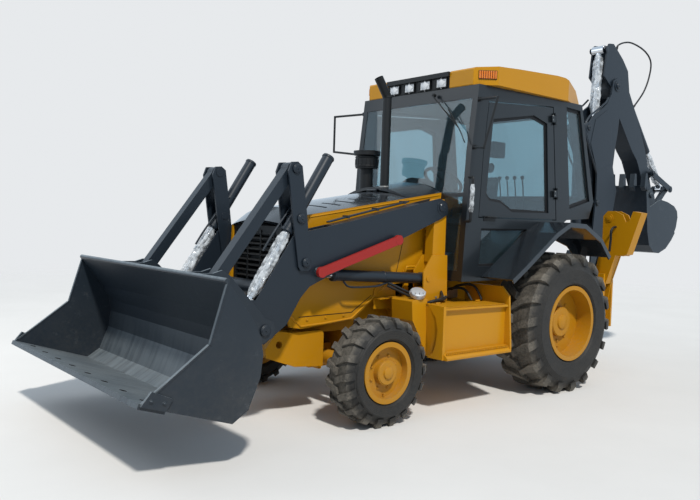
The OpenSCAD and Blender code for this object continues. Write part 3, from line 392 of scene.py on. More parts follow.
# Finger grips round its rim
for i in range(12):
    a = math.tau * i / 12
    lathe(form, filler_place + Vector((0.064 * math.cos(a), 0.064 * math.sin(a), 0.012)),
          filler_axis, [(5, 0), (5, 22)], 8)
cap_metal = surface("filler_cap", (0.62, 0.63, 0.64), rough=0.42, grain=0.2, grain_size=0.002,
                    metallic=0.55, dust=0.1)
made("filler_cap", form, cap_metal, "chassis", 30)


def spots(rows, side=1):
    """Places for rows of (x, y, z) in millimetres, mirrored to the right by side -1."""
    return [spot(x, side * y, z) for x, y, z in rows]


def spots_at(y, rows):
    """Places for rows of (x, z) in millimetres, all at one y."""
    return [spot(x, y, z) for x, z in rows]


def curve_through(points, steps=6):
    """Places on a smooth curve through these places."""
    ends = [points[0] * 2 - points[1]] + list(points) + [points[-1] * 2 - points[-2]]
    run = []
    for a, b, c, d in zip(ends, ends[1:], ends[2:], ends[3:]):
        for i in range(steps):
            t = i / steps
            run.append(0.5 * (2 * b + (c - a) * t + (2 * a - 5 * b + 4 * c - d) * t * t
                              + (3 * b - a - 3 * c + d) * t ** 3))
    return run + [points[-1]]


def pipe(form, points, r, sides=12, steps=6, swell=None):
    """A round tube along a smooth curve through the points, r in millimetres; swell(share,
    angle) scales its radius. With no steps, it runs straight from point to point."""
    run = curve_through(points, steps) if steps else list(points)
    normal = (run[1] - run[0]).orthogonal().normalized()
    rings = []
    for i, p in enumerate(run):
        ahead = (run[min(i + 1, len(run) - 1)] - run[max(i - 1, 0)]).normalized()
        normal = (normal - ahead * normal.dot(ahead)).normalized()
        side = ahead.cross(normal)
        ring = []
        for k in range(sides):
            a = 2 * math.pi * k / sides
            size = r / 1000 * (swell(i / (len(run) - 1), a) if swell else 1)
            ring.append(form.verts.new(p + (normal * math.cos(a) + side * math.sin(a)) * size))
        rings.append(ring)
    for low, high in zip(rings, rings[1:]):
        for k in range(sides):
            form.faces.new((low[k - 1], low[k], high[k], high[k - 1]))
    form.faces.new(rings[0][::-1])
    form.faces.new(rings[-1])


hose_rubber = surface("hose_rubber", (0.012, 0.012, 0.013), rough=0.55, grain=0.5,
                      grain_size=0.003, dust=0.2)
thick_hose, thin_hose = 13, 11
form = bmesh.new()
for side in (-1, 1):
    for r, rows in (
            (thick_hose, ((1120, 420, 1000), (1240, 560, 960), (1360, 700, 905),
                          (1500, 740, 890), (1560, 700, 868))),
            (thick_hose, ((1120, 440, 960), (1210, 600, 900), (1330, 660, 880),
                          (1420, 620, 866))),
            (thin_hose, ((1000, 400, 900), (960, 520, 980), (900, 640, 990), (870, 700, 900),
                         (880, 720, 866))),
            (thin_hose, ((1080, 400, 880), (1060, 500, 950), (1000, 620, 960),
                         (980, 700, 866)))):
        pipe(form, spots(rows, side), r)
made("box_hoses", form, hose_rubber, "chassis", 40)

form = bmesh.new()
for side in (-1, 1):
    brick(form, (1130, side * 360, 866), (1290, side * 470, 985))
    brick(form, (900, side * 370, 862), (1060, side * 460, 950))
    for x in (1150, 1190, 1230, 1270):
        lathe(form, spot(x, side * 420, 984), (0, 0, 1), [(14, 0), (14, 26), (9, 30), (9, 44)], 6)
made("valve_blocks", form, zinc, "chassis", 30, 3)

# ---------------------------------------------------------------- hood and grille
# A lid and a cowl in dark gloss over pressed side panels in yellow enamel, which
# have a rolled lower lip, a raised bead, painted shade along their shut lines
# and, on the left, a tube handle by the cab. Black bars stand before the radiator.

gloss = surface("dark_gloss", (0.010, 0.014, 0.019), rough=0.2, coat=0.6, dust=0.08, spread=0.1)
finish_nodes(gloss, "hood_lid", "rear_cowl")
finish_nodes(enamel, "hood_sides")
soot = surface("stove_black", (0.008, 0.009, 0.010), rough=0.5, grain=0.3, grain_size=0.003,
               dust=0.12)
finish_nodes(soot, "grille", "engine")

hood_side = 440


def hood_top(x):
    """Height of the side panels' top edge, which falls towards the nose."""
    return 1810 - (x - 1110) * 0.161


form = bmesh.new()
for side in (-1, 1):
    # Rolled lip along the lower edge, and the bolts above it
    pipe(form, spots_at(side * (hood_side + 0.5), (
        (2752, 822), (2640, 716), (2412, 726), (2137, 748), (1885, 928), (1770, 1016))), 9, 10, 0)
    for x, z in ((2580, 764), (2400, 770), (2220, 776)):
        bolt(form, spot(x, side * (hood_side + 1), z), (0, side, 0), 8)
    # Raised bead under the top edge, with a gap before the cowl
    for ends in ((2585, 1600), (1540, 1160)):
        pipe(form, [spot(x, side * (hood_side - 2), hood_top(x) - 20) for x in ends], 7, 10, 0)
    # Cover plate behind the front wheel
    slab(form, [(1660, 800), (1905, 812), (1912, 960), (1870, 1012), (1700, 1008), (1664, 990)],
         side * (hood_side + 0.5), side * (hood_side + 6))
# Tube handle
pipe(form, spots(((1577, 441, 1114), (1577, 466, 1116), (1570, 472, 1150), (1535, 472, 1158),
                  (1300, 472, 1153), (1288, 470, 1151))), 9, 12, 4)
made("hood_trim", form, enamel, "chassis", 40)

# Painted shade: thin near-black strips over the gaps beside the cowl and above the lip
form = bmesh.new()
for side in (-1, 1):
    inner, outer = side * (hood_side + 0.4), side * (hood_side + 1.2)
    run = ((1556, 1690), (1570, 1451), (1648, 1128), (1700, 1016))
    for (x0, z0), (x1, z1) in zip(run, run[1:]):
        slab(form, [(x0, z0), (x0 + 6, z0), (x1 + 6, z1), (x1, z1)], inner, outer)
    slab(form, [(2660, 792), (2140, 800), (1930, 930), (1930, 924), (2137, 794), (2660, 786)],
         inner, outer)
# Near-black matte that stands for the shade in gaps and holes
painted_gap_shade = surface("shade_strip", (0.008, 0.008, 0.008), rough=0.9, grain=0.3, dust=0.0)
made("hood_painted_shade", form, painted_gap_shade, "chassis", 40)

# Valve with its pipe ends, on the left panel
form = bmesh.new()
lathe(form, spot(1236, 502, 1100), (0, 0, 1), [
    (14, 0), (20, 8), (20, 30), (13, 36), (13, 60), (19, 66), (19, 92), (12, 98), (12, 112)], 24)
lathe(form, spot(1236, 470, 1152), (0, 1, 0), [(11, -30), (11, 62), (16, 64), (16, 76)], 20)
lathe(form, spot(1180, 502, 1172), (1, 0, 0), [(10, 0), (10, 62)], 16)
made("hood_valve", form, zinc, "chassis", 30)

bar_pitch, fin_pitch = 44, 15.6
form = bmesh.new()
for i in range(14):
    z = 830 + i * bar_pitch
    solid(form, spots_at(0, ((2716, z), (2734, z + 6), (2734, z + 12), (2716, z + 26))),
          (0, 1, 0), -0.372, 0.372)
for y in (-378, -190, 0, 190, 378):
    brick(form, (2722, y - 7, 812), (2738, y + 7, 1440))
# Radiator core behind the bars, with its fins
brick(form, (2644, -352, 804), (2652, 352, 1396))
for i in range(44):
    brick(form, (2651, -340 + i * fin_pitch, 810), (2658, -336 + i * fin_pitch, 1390))
made("grille_bars", form, soot, "chassis", 30, 1)

# ---------------------------------------------------------------- stacks
# The exhaust pipe and the air pre-cleaner on its stem, of sheet steel in heat-proof
# black, which come up through the lid. A bolted clamp holds the pipe, and rings
# and upright vanes go round the cleaner's bowl.

finish_nodes(soot, "stacks")
exhaust = (1480, 60)
cleaner = (1420, -260)

form = bmesh.new()
for z, r in ((1812, 43.5), (1834, 43.5), (2630, 42)):
    lathe(form, spot(*exhaust, z), (0, 0, 1), [(r, 0), (r + 2, 3), (r + 2, 13), (r, 16)], 36)
for z in (2032, 2112):
    lathe(form, spot(*cleaner, z), (0, 0, 1), [(106, 0), (109, 4), (109, 12), (106, 16)], 40)
for i in range(16):
    a = math.tau * i / 16
    at = spot(*cleaner, 2050) + Vector((math.cos(a), math.sin(a), 0)) * 0.106
    lathe(form, at, (0, 0, 1), [(4, 0), (4, 54)], 8)
made("stack_rings", form, soot, "chassis", 30)
form = bmesh.new()
lathe(form, spot(*exhaust, 1836), (0, 0, 1), [(44, 0), (47, 2), (47, 12), (44, 14)], 36)
bolt(form, spot(1480, 108, 1843), (0, 1, 0), 7)
made("stack_clamp", form, zinc, "chassis", 30)

# ---------------------------------------------------------------- cab shell
# Welded posts, walls and doors in dark paint, between dark fenders and under a
# yellow roof, with rubber seals round the panes, a wiper and mirror loops. Each
# door hangs on two bolted hinges and has a tube handle; a grab rail is beside it.

post_paint = surface("cab_paint", (0.008, 0.011, 0.014), rough=0.30, grain=0.1, coat=0.25,
                     dust=0.08)
finish_nodes(post_paint, "cab_frame", "door_left", "door_right")
finish_nodes(gloss, "fenders")
finish_nodes(enamel, "cab_roof")
finish_nodes(soot, "mirrors")
rubber_seal = surface("rubber_seal", (0.010, 0.010, 0.011), rough=0.55, grain=0.3,
                      grain_size=0.003, dust=0.15)


def seal(form, outline, y, width, thick):
    """A rubber strip just inside a closed side-view outline, standing proud at y. Its
    corners reach a quarter further in than its width, as they do on a mitre."""
    centre = Vector((sum(p[0] for p in outline), sum(p[1] for p in outline))) / len(outline)
    inner = []
    for p in outline:
        inward = centre - Vector(p)
        inner.append(Vector(p) + inward * width / inward.length * 1.25)
    for i in range(len(outline)):
        ring = [outline[i - 1], outline[i], inner[i], inner[i - 1]]
        slab(form, ring, y, y + thick)


pane_face = 726.5
side_panes = (
    [(-234, 2690), (-470, 2680), (-700, 1797), (-358, 1711)],
    [(951, 1500), (300, 1500), (645, 1164), (971, 1170)])
door_pane = [(842, 2460), (266, 2555), (60, 2500), (-20, 1660), (536, 1653), (700, 1730),
             (860, 1748), (905, 1795)]

form = bmesh.new()
for side in (-1, 1):
    for outline in side_panes:
        seal(form, outline, side * pane_face, 26, side * 4)
# Strip across the windscreen's foot
pipe(form, [spot(1110, y, 1806) for y in (688, -688)], 6, 8, 0)
made("cab_seals", form, rubber_seal, "chassis", 40)

for side, word in ((1, "left"), (-1, "right")):
    door = "door_" + word
    form = bmesh.new()
    seal(form, door_pane, side * pane_face, 24, side * 5)
    made("door_seal_" + word, form, rubber_seal, door, 40)
    form = bmesh.new()
    brick(form, (770, side * 748.5, 1566), (925, side * 756, 1610))
    pipe(form, spots(((905, 752, 1600), (900, 786, 1601), (870, 790, 1601), (820, 790, 1600),
                      (788, 784, 1599), (784, 752, 1598)), side), 7)
    made("door_handle_" + word, form, soot, door, 40, 1)
    form = bmesh.new()
    for up in (250, 960):
        # The hinge line leans forward by 120 mm over the door's 1060 mm
        x = -152 + 120 * up / 1060 + 44
        for dz in (-18, 18):
            bolt(form, spot(x, side * 768, 1600 + up + dz), (0, side, 0), 6)
    made("door_bolts_" + word, form, zinc, door, 30)

form = bmesh.new()
pipe(form, spots(((1100, 257, 2679), (1113, 300, 2640), (1124, 480, 2480),
                  (1130, 600, 2370))), 6)
pipe(form, spots(((1124, 470, 2540), (1136, 620, 2350), (1150, 700, 2230))), 5)
lathe(form, spot(1085, 257, 2684), (1, 0, 0.2), [(16, -10), (16, 18), (8, 24)], 20)
made("wiper", form, soot, "chassis", 40)

form = bmesh.new()
pipe(form, spots(((1152, 752, 1560), (1158, 800, 1566), (1156, 806, 1640), (1148, 806, 1870),
                  (1142, 800, 1928), (1136, 752, 1936))), 13, 14)
made("grab_rail", form, soot, "chassis", 40)

# ---------------------------------------------------------------- windows
# Thin panes of tinted safety glass, held in the rubber seals of the cab and of its
# doors. Dry dust lies on them in a light film.


def window_glass(name, tint, haze):
    """A thin tinted pane: it lets most light through, mirrors more at a slant and
    carries a faint dry film."""
    material, wire = new_material(name)
    place = wire.node("ShaderNodeTexCoord", out="Object")
    clear = wire.node("ShaderNodeBsdfTransparent", None, {"Color": tint})
    mirror = wire.node("ShaderNodeBsdfGlossy", None, {"Color": (1, 1, 1, 1), "Roughness": 0.02})
    dry = wire.node("ShaderNodeBsdfDiffuse", None, {"Color": (0.36, 0.50, 0.56, 1)})
    facing = wire.node("ShaderNodeLayerWeight", None, {"Blend": 0.5}, "Facing")
    slant = facing.math("POWER", facing, 4) * 0.95 + 0.05
    dusty = (place.clouds(0.5, 6, 0.6).between(0.2, 0.9) * 0.7 + 0.3) * haze
    hazy = wire.node("ShaderNodeMixShader", None, {0: dusty, 1: clear, 2: dry})
    wire.node("ShaderNodeMixShader", None, {0: slant, 1: hazy, 2: mirror}).show()
    return material


pane = window_glass("tinted_pane", tint=(0.62, 0.74, 0.78, 1), haze=0.06)
finish_nodes(pane, "cab_glass", "door_left_glass", "door_right_glass")

# ---------------------------------------------------------------- cab inside
# A moulded dash with a wheel, knobbed levers ahead of the seat and behind it, a
# hung box and the roof's lining. The seat is a moulded base under three padded
# parts of black vinyl, blown up by cloth.

moulding = surface("cab_plastic", (0.024, 0.025, 0.027), rough=0.6, grain=0.5,
                   grain_size=0.002, dust=0.15)
finish_nodes(moulding, "cab_controls")

form = bmesh.new()
for y in (-310, 310):
    pipe(form, spots_at(y, ((420, 1480), (430, 1700), (470, 1830))), 9)
    lathe(form, spot(470, y, 1825), (0.25, 0, 1), [(10, 0), (22, 14), (24, 40), (14, 58)], 20)
for y in (-150, -50, 50, 150):
    pipe(form, spots_at(y, ((-420, 1700), (-400, 1900), (-380, 2010))), 7)
    lathe(form, spot(-380, y, 2005), (0, 0, 1), [(9, 0), (19, 12), (20, 34), (12, 48)], 18)
# Console under the rear levers, the hung box and the lining
brick(form, (-560, -330, 1640), (-400, 330, 1710))
brick(form, (200, 300, 2180), (370, 380, 2330))
brick(form, (-520, -560, 2640), (900, 560, 2662))
made("cab_fittings", form, moulding, "chassis", 35, 6)

leather = surface("seat_vinyl", (0.030, 0.031, 0.034), rough=0.5, grain=0.8, grain_size=0.003,
                  dust=0.1, edge=0.006)


def cushion(name, centre, size, lean, cap):
    """A padded block whose form is blown up by cloth pressure. No point of it moves
    further than cap, in metres."""
    form = bmesh.new()
    bmesh.ops.create_cube(form, size=1)
    bmesh.ops.scale(form, vec=size, verts=form.verts)
    bmesh.ops.bevel(form, geom=form.edges[:], offset=min(size) * 0.3, segments=3, affect="EDGES")
    bmesh.ops.rotate(form, cent=(0, 0, 0), matrix=Matrix.Rotation(lean, 3, "Y"), verts=form.verts)
    bmesh.ops.translate(form, vec=centre, verts=form.verts)
    pad = made(name, form, leather, "chassis", 180)
    bpy.context.view_layer.objects.active = pad
    remesh = pad.modifiers.new("remesh", "REMESH")
    remesh.mode, remesh.voxel_size = "VOXEL", 0.009
    bpy.ops.object.modifier_apply(modifier="remesh")
    rest = [v.co.copy() for v in pad.data.vertices]
    cloth = pad.modifiers.new("cloth", "CLOTH")
    cloth.settings.use_pressure = True
    cloth.settings.uniform_pressure_force = 4
    cloth.settings.effector_weights.gravity = 0
    for step in range(1, 21):
        bpy.context.scene.frame_set(step)
    bpy.ops.object.modifier_apply(modifier="cloth")
    bpy.context.scene.frame_set(1)
    for v, start in zip(pad.data.vertices, rest):
        moved = v.co - start
        if moved.length > cap:
            v.co = start + moved * (cap / moved.length)
    rounding = pad.modifiers.new("rounding", "SUBSURF")
    rounding.levels = rounding.render_levels = 1
    for face in pad.data.polygons:
        face.use_smooth = True


form = bmesh.new()
slab(form, [(486, 1300), (486, 1470), (114, 1470), (114, 1500), (500, 1500), (500, 1290)],
     -176, 176)
slab(form, [(120, 1400), (480, 1240), (480, 1474), (120, 1474)], -178, 178)
for z in (1330, 1380, 1430):
    slab(form, [(482, z), (490, z), (490, z + 14), (482, z + 14)], -180, 180)
seat_base = made("seat_base", form, moulding, "chassis", 35, 5)
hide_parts("seat")
cushion("seat_cushion", spot(305, 0, 1528), size=(0.44, 0.46, 0.075), lean=0.0, cap=0.022)
cushion("seat_back", spot(90, 0, 1800), size=(0.075, 0.44, 0.46), lean=-0.1, cap=0.022)
cushion("seat_headrest", spot(50, 0, 2105), size=(0.06, 0.24, 0.10), lean=-0.1, cap=0.015)

# ---------------------------------------------------------------- roof lamps
# Four clear work lamps in black rims on the dark bar under the roof's visor, and a
# ribbed amber lamp screwed to each front corner of the yellow roof.

finish_nodes(soot, "lamps")
lens = surface("lamp_lens", (0.70, 0.71, 0.72), rough=0.12, grain=0.8, grain_size=0.005,
               coat=0.8, dust=0.05)
form = bmesh.new()
rims = bmesh.new()
for y in (-309, -103, 103, 309):
    lathe(form, spot(1054.4, y, 2792), (1, 0, 0),
          [(52, 0), (50, 5), (36, 9), (12, 11), (1, 11.5)], 4)
    for dy in (-36, -18, 0, 18, 36):
        brick(form, (1054, y + dy - 6, 2757), (1058, y + dy + 6, 2827))
    brick(form, (1053.6, y - 58, 2757), (1056, y + 58, 2827))
    for z0, z1 in ((2748, 2757), (2827, 2836)):
        brick(rims, (1046, y - 66, z0), (1062, y + 66, z1))
    for dy in (-66, 66):
        brick(rims, (1046, y + dy - 4, 2748), (1062, y + dy + 4, 2836))
made("work_lenses", form, lens, "chassis", 30, 0.8)
made("work_lamp_rims", rims, soot, "chassis", 30, 1)

amber = surface("amber_lens", (0.75, 0.20, 0.008), rough=0.2, grain=0.8, grain_size=0.006,
                coat=0.8, dust=0.05)
corner = Vector((1050, 680, 0))
along = Vector((-170, 140, 0)).normalized()
outward = Vector((140, 170, 0)).normalized()
rib_pitch = 19.6
form = bmesh.new()
for side in (-1, 1):
    for i in range(8):
        rib = [corner + along * (47 + i * rib_pitch + d) + outward * lift
               for d, lift in ((0, 4), (18, 4), (15, 13), (3, 13))]
        solid(form, [spot(p.x, side * p.y, 2792) for p in rib], (0, 0, 1), 0, 0.066)
made("amber_lenses", form, amber, "chassis", 30, 1)

# ---------------------------------------------------------------- loader
# Arms, levers, links and bucket welded from plate and painted slate blue, on pins
# with collars and grease nipples. Steel tubes are clamped to the arms, a red prop
# lies on the left one, and the bucket has a rolled lip and bolted edges.

slate_blue = (0.013, 0.020, 0.029)
slate = surface("slate_paint", slate_blue, rough=0.4, grain=0.15, grain_size=0.006, coat=0.08,
                dust=0.12, wear=(0.05, 0.06, 0.07))
finish_nodes(slate, "loader_arms", "tilt_levers", "tilt_links", "lift_barrels", "tilt_barrels")
# The bucket's paint carries a painted sky reflection, lighter on faces that look up
bucket_paint = surface("bucket_paint", slate_blue, rough=0.4, grain=0.2, grain_size=0.006,
                       coat=0.08, dust=0.12, wear=(0.07, 0.08, 0.09), scratch=0.4,
                       painted_sky_sheen=(0.15, 0.18, 0.20))
finish_nodes(bucket_paint, "loader_bucket")
prop_red = surface("prop_red", (0.33, 0.016, 0.012), rough=0.42, grain=0.2, coat=0.1,
                   dust=0.06, wear=(0.16, 0.03, 0.02))
finish_nodes(prop_red, "safety_prop")
chrome = surface("chrome", (0.62, 0.63, 0.65), rough=0.12, metallic=1.0, dust=0.1)
finish_nodes(chrome, "lift_rods", "tilt_rods")

arm_y = 545
tilt_axis = (0.539, 0, -0.842)
lift_axis = (1, 0, 0.056)


def pin_cap(form, x, y, z, out, r, nipple=True):
    """A pin's end: a collar and, as a rule, a grease nipple."""
    at = spot(x, y, z)
    lathe(form, at, (0, out, 0),
          [(r + 8, 0), (r + 8, 6), (r + 4, 10), (r, 10), (r - 3, 13), (1, 13)], 32)
    if nipple:
        lathe(form, at + Vector((0, out * 0.012, 0)), (0, out, 0),
              [(5, 0), (5, 6), (3, 8), (3, 13)], 10)


form = bmesh.new()
for side in (-1, 1):
    pin_cap(form, 1300, side * 613, 1670, side, 34)
    pin_cap(form, 2750, side * 639.5, 1220, side, 26)
    pin_cap(form, 2617, side * 610, 1148, side, 30)
    # Steel tubes along the arm's back, held by clamps
    for dy in (-22, 0):
        pipe(form, spots_at(side * (arm_y + dy), (
            (1640, 1708), (1900, 1651), (2300, 1562), (2480, 1520))), 7, 10, 3)
    for x, z in ((1700, 1690), (2000, 1624), (2300, 1556)):
        brick(form, (x - 12, side * arm_y - 42, z - 4), (x + 12, side * arm_y + 22, z + 20))
    # Weld bead where the cross tube meets the arm
    lathe(form, spot(2945, side * 480, 1005), (0, -side, 0), [(66, 0), (66, 2), (60, 8)], 36)
made("arm_fittings", form, slate, "loader_arms", 35)

form = bmesh.new()
for side in (-1, 1):
    for dy in (-91, 91):
        pin_cap(form, 2855, side * arm_y + dy, 1898, side if dy > 0 else -side, 26)
    pin_cap(form, 2800, side * 635, 1540, side, 28)
made("lever_pins", form, slate, "tilt_levers", 35)

form = bmesh.new()
for side in (-1, 1):
    # Steel tube from the tilt cylinder's end down beside its rod, and the end rings
    pipe(form, spots_at(side * (arm_y - 40), (
        (2730, 1700), (2790, 1640), (2960, 1420), (3040, 1300))), 8)
    lathe(form, spot(2862, side * arm_y, 1443), tilt_axis,
          [(46, -20), (50, -16), (50, 4), (47, 8)], 32)
    lathe(form, spot(2500, side * arm_y, 2010), tilt_axis,
          [(46, 0), (49, 3), (49, 12), (46, 16)], 32)
made("tilt_cylinder_fittings", form, slate, "tilt_barrels", 35)

form = bmesh.new()
for side in (-1, 1):
    lathe(form, spot(2400, side * arm_y, 1114), lift_axis,
          [(46, 0), (50, 4), (50, 34), (46, 38)], 32)
    pipe(form, spots(((2330, 560, 1064), (2260, 566, 1018), (2000, 566, 1014),
                      (1900, 560, 1032), (1860, 556, 1040)), side), 8)
    lathe(form, spot(1900, side * arm_y, 1086), lift_axis,
          [(46, 0), (48, 3), (48, 12), (46, 15)], 32)
made("lift_cylinder_fittings", form, slate, "lift_barrels", 35)

for side, word in ((1, "left"), (-1, "right")):
    form = bmesh.new()
    for drop in (0, 26):
        pipe(form, spots(((1860, 556, 1040 - drop), (1800, 590, 1010 - drop),
                          (1700, 640, 960 - drop), (1600, 640, 930 - drop),
                          (1480, 600, 940 - drop), (1400, 520, 960 - drop)), side), thin_hose)
    hose = made("lift_hoses_" + word, form, hose_rubber, None, 40)
    tuple(spot(1480, side * 620, 940))
    tuple(spot(1830, side * 570, 1025))
    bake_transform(hose)

form = bmesh.new()
# Rolled lip along the bucket's rear top edge
pipe(form, [spot(3727, y, 1164) for y in (-1188, 1188)], 17, 20, 0)
for side in (-1, 1):
    # Bolted side cutter at the cheek's front corner
    slab(form, [(4262, 488), (4112, 440), (4066, 508), (4196, 566)], side * 1186, side * 1206)
    for x, z in ((4200, 510), (4120, 488)):
        bolt(form, spot(x, side * 1206, z), (0, side, 0), 9)
    # Ribs along the cheek's rear and front edges
    slab(form, [(3838, 794), (3728, 1158), (3716, 1152), (3826, 788)], side * 1172, side * 1196)
    slab(form, [(4230, 512), (3842, 796), (3834, 786), (4222, 502)], side * 1172, side * 1196)
made("bucket_edges", form, bucket_paint, "loader_bucket", 35, 2)

# Painted shade: dark plugs on the cutting edge where its square bolt holes are
hole_pitch = 291.4
form = bmesh.new()
for i in range(8):
    y = -1020 + i * hole_pitch
    slab(form, [(4176, 480.6), (4144, 470.6), (4145, 466), (4177, 476)], y - 18, y + 18)
made("bucket_hole_shade", form, painted_gap_shade, "loader_bucket", 35)

form = bmesh.new()
for side in (-1, 1):
    for dy in (-96.8, 96.8):
        pin_cap(form, 3090, side * arm_y + dy, 745, side if dy > 0 else -side, 34)
made("bucket_pins", form, slate, "loader_bucket", 35)

# ---------------------------------------------------------------- packing film
# Crumpled clear film, wound round four of the polished rods and the grab rail for
# the machine's delivery and tied at its ends.


def film_material():
    """Thin clear plastic whose creases catch the light and are less clear."""
    material, wire = new_material("packing_film")
    place = wire.node("ShaderNodeTexCoord", out="Object")
    bent = wire.node("ShaderNodeVectorMath", {"operation": "MULTIPLY_ADD"}, {
        0: place.clouds(0.09, 3, 0.5), 1: (0.05, 0.05, 0.05), 2: place})
    crease = bent.clouds(0.05, 4, 0.5)
    folds = wire.node("ShaderNodeBump", None,
                      {"Strength": 0.7, "Distance": 0.008, "Height": crease})
    wire.node("ShaderNodeBsdfPrincipled", None, {
        "Base Color": (0.66, 0.70, 0.73, 1), "Roughness": 0.1, "Coat Weight": 0.6,
        "Alpha": crease.between(0.36, 0.64) * 0.62 + 0.25, "Normal": folds}).show()
    return material


film_clear = film_material()


def tied(share):
    """0 at both ends of a wrapping and 1 over most of it."""
    return min(1, share * 8, (1 - share) * 8)


def film(name, start, end, r, body, seed):
    """A crumpled wrapping from start to end of a rod."""
    form = bmesh.new()
    rings = 70

    def swell(share, angle):
        at = Vector((math.cos(angle), math.sin(angle), share * 9 + seed))
        lumps = abs(noise.noise(at * 1.1))
        ridge = abs(math.sin(angle * 2.5 + 2.2 * noise.noise(Vector((seed, share * 3, 1)))))
        return min(1.78, 1.08 + tied(share) * (
            0.12 + 0.8 * lumps + 0.4 * ridge ** 3 + 0.1 * abs(noise.noise(at * 4))))

    pipe(form, [start.lerp(end, i / rings) for i in range(rings + 1)], r, 48, 0, swell)
    wrap = made(name, form, film_clear, body, 180)
    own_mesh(wrap)


for side, word in ((1, "left"), (-1, "right")):
    film("tilt_film_" + word, spot(2866, side * arm_y, 1437), spot(3160, side * arm_y, 977), 27,
         "tilt_rods", seed=side * 3.1)
film("dipper_film", spot(-1894, 0, 2870), spot(-1932, 0, 3568), 35,
     "dipper_rod", seed=7.7)
film("digger_film", spot(-3118, 0, 2507), spot(-3440, 0, 2130), 30,
     "bucket_rod", seed=5.2)


def rail_swell(share, angle):
    at = Vector((math.cos(angle), math.sin(angle), share * 5))
    return 1.1 + 0.9 * abs(noise.noise(at)) * tied(share)


form = bmesh.new()
rail_foot, rail_head = spot(1156, 806, 1636), spot(1148, 806, 1874)
pipe(form, [rail_foot.lerp(rail_head, i / 30) for i in range(31)], 14, 24, 0, rail_swell)
made("grab_rail_film", form, film_clear, "chassis", 180)

# ---------------------------------------------------------------- wheels
# Pressed rims in yellow enamel on steered knuckles and the rear axle, held by a ring
# of nuts round a bolted hub cap, and black tyres with moulded rings on their
# sidewalls and pale dust on the tread and its lugs.

finish_nodes(enamel, "knuckle_left", "knuckle_right")


def rubber(name, axle_x, axle_z, tread_r, rim_r):
    """Tyre rubber: dust grows towards the tread, and moulded rings circle the sidewall."""
    material, wire = new_material(name)
    place = wire.node("ShaderNodeTexCoord", out="Object")
    parts = wire.node("ShaderNodeVectorMath", {"operation": "SUBTRACT"},
                      {0: place, 1: (axle_x, 0, axle_z)})
    r = parts.stretched((1, 0, 1)).length()
    fine = place.clouds(0.02, 8, 0.7)
    broad = place.clouds(0.16, 5, 0.6)
    tread = r.between(tread_r * 0.86, tread_r * 0.985)
    dust = (tread * 0.8 + 0.1) * (broad * 0.5 + fine * 0.6).between(0.28, 0.75)
    tone = dust.mix((0.012, 0.012, 0.012, 1), (0.19, 0.17, 0.14, 1))
    sidewall = r.between(rim_r + 0.012, rim_r + 0.016) - r.between(tread_r * 0.84, tread_r * 0.85)
    rings = sidewall * (r * 520).math("SINE", r * 520).between(0.2, 0.9)
    relief = wire.node("ShaderNodeBump", None,
                       {"Strength": 0.7, "Distance": 0.004, "Height": rings})
    pores = wire.node("ShaderNodeBump", None, {
        "Strength": 0.25, "Distance": 0.001, "Height": fine, "Normal": relief})
    wire.node("ShaderNodeBsdfPrincipled", None, {
        "Base Color": tone, "Roughness": dust * 0.2 + 0.62, "Specular IOR Level": 0.35,
        "Normal": pores}).show()
    return material


front_rubber = rubber("front_rubber", front_axle_x, front_axle_z, tread_r=0.412, rim_r=0.233)
rear_rubber = rubber("rear_rubber", rear_axle_x, rear_axle_z, tread_r=0.645, rim_r=0.348)
finish_nodes(front_rubber, "tyre_front_left", "tyre_front_right")
finish_nodes(rear_rubber, "tyre_rear_left", "tyre_rear_right")
rim_paint = surface("rim_enamel", (0.44, 0.198, 0.005), rough=0.4, grain=0.12, grain_size=0.006,
                    coat=0.06, dust=0.3, wear=(0.20, 0.09, 0.015), shine=0.2)
finish_nodes(rim_paint, "rim_front_left", "rim_front_right", "rim_rear_left", "rim_rear_right")

wheelbase = 2220
for side, word in ((1, "left"), (-1, "right")):
    # Place, axle's x and z, y of the rim's and the hub's faces, radii of the hub and of
    # the ring of nuts, their count, and a nut's radius
    for place, x, z, face_y, hub_y, hub_r, circle, count, nut_r in (
            ("front", wheelbase, front_axle_z * 1000, 929, 977, 95, 128, 8, 10),
            ("rear", 0, rear_axle_z * 1000, 916, 954, 140, 182, 10, 12)):
        wheel = "%s_%s" % (place, word)
        form = bmesh.new()
        for r, n, turn, y, size in ((circle, count, 0.5, face_y, nut_r),
                                    (hub_r * 0.72, 6, 0, hub_y + 1, 7)):
            for i in range(n):
                a = math.tau * (i + turn) / n
                bolt(form, spot(x + r * math.cos(a), side * y, z + r * math.sin(a)),
                     (0, side, 0), size)
        # Tyre valve
        lathe(form, spot(x, side * face_y, z - circle * 1.32), (0, side, 0.2),
              [(5, 0), (5, 22), (3, 26)], 12)
        made("nuts_" + wheel, form, rim_paint, "wheel_" + wheel, 30)
        form = bmesh.new()
        lathe(form, spot(x, side * (hub_y - 1), z), (0, side, 0), [
            (hub_r - 3, 0), (hub_r - 8, 8), (hub_r * 0.5, 10), (hub_r * 0.46, 22),
            (hub_r * 0.36, 28), (1, 30)], 40)
        made("hub_" + wheel, form, rim_paint, "wheel_" + wheel, 30)

# ---------------------------------------------------------------- backhoe
# Boom, dipper and toothed digging bucket welded from plate and painted slate blue,
# on greased pins. Bent steel tubes cross the boom's hump and are clamped down the
# dipper's back, and rubber hoses cross the pivot and loop out at the dipper's top.

finish_nodes(slate, "swing_post", "boom", "dipper", "bucket_idler", "bucket_link",
             "boom_barrel", "dipper_barrel", "bucket_barrel")
finish_nodes(chrome, "boom_rod", "dipper_rod", "bucket_rod")
finish_nodes(bucket_paint, "digging_bucket")

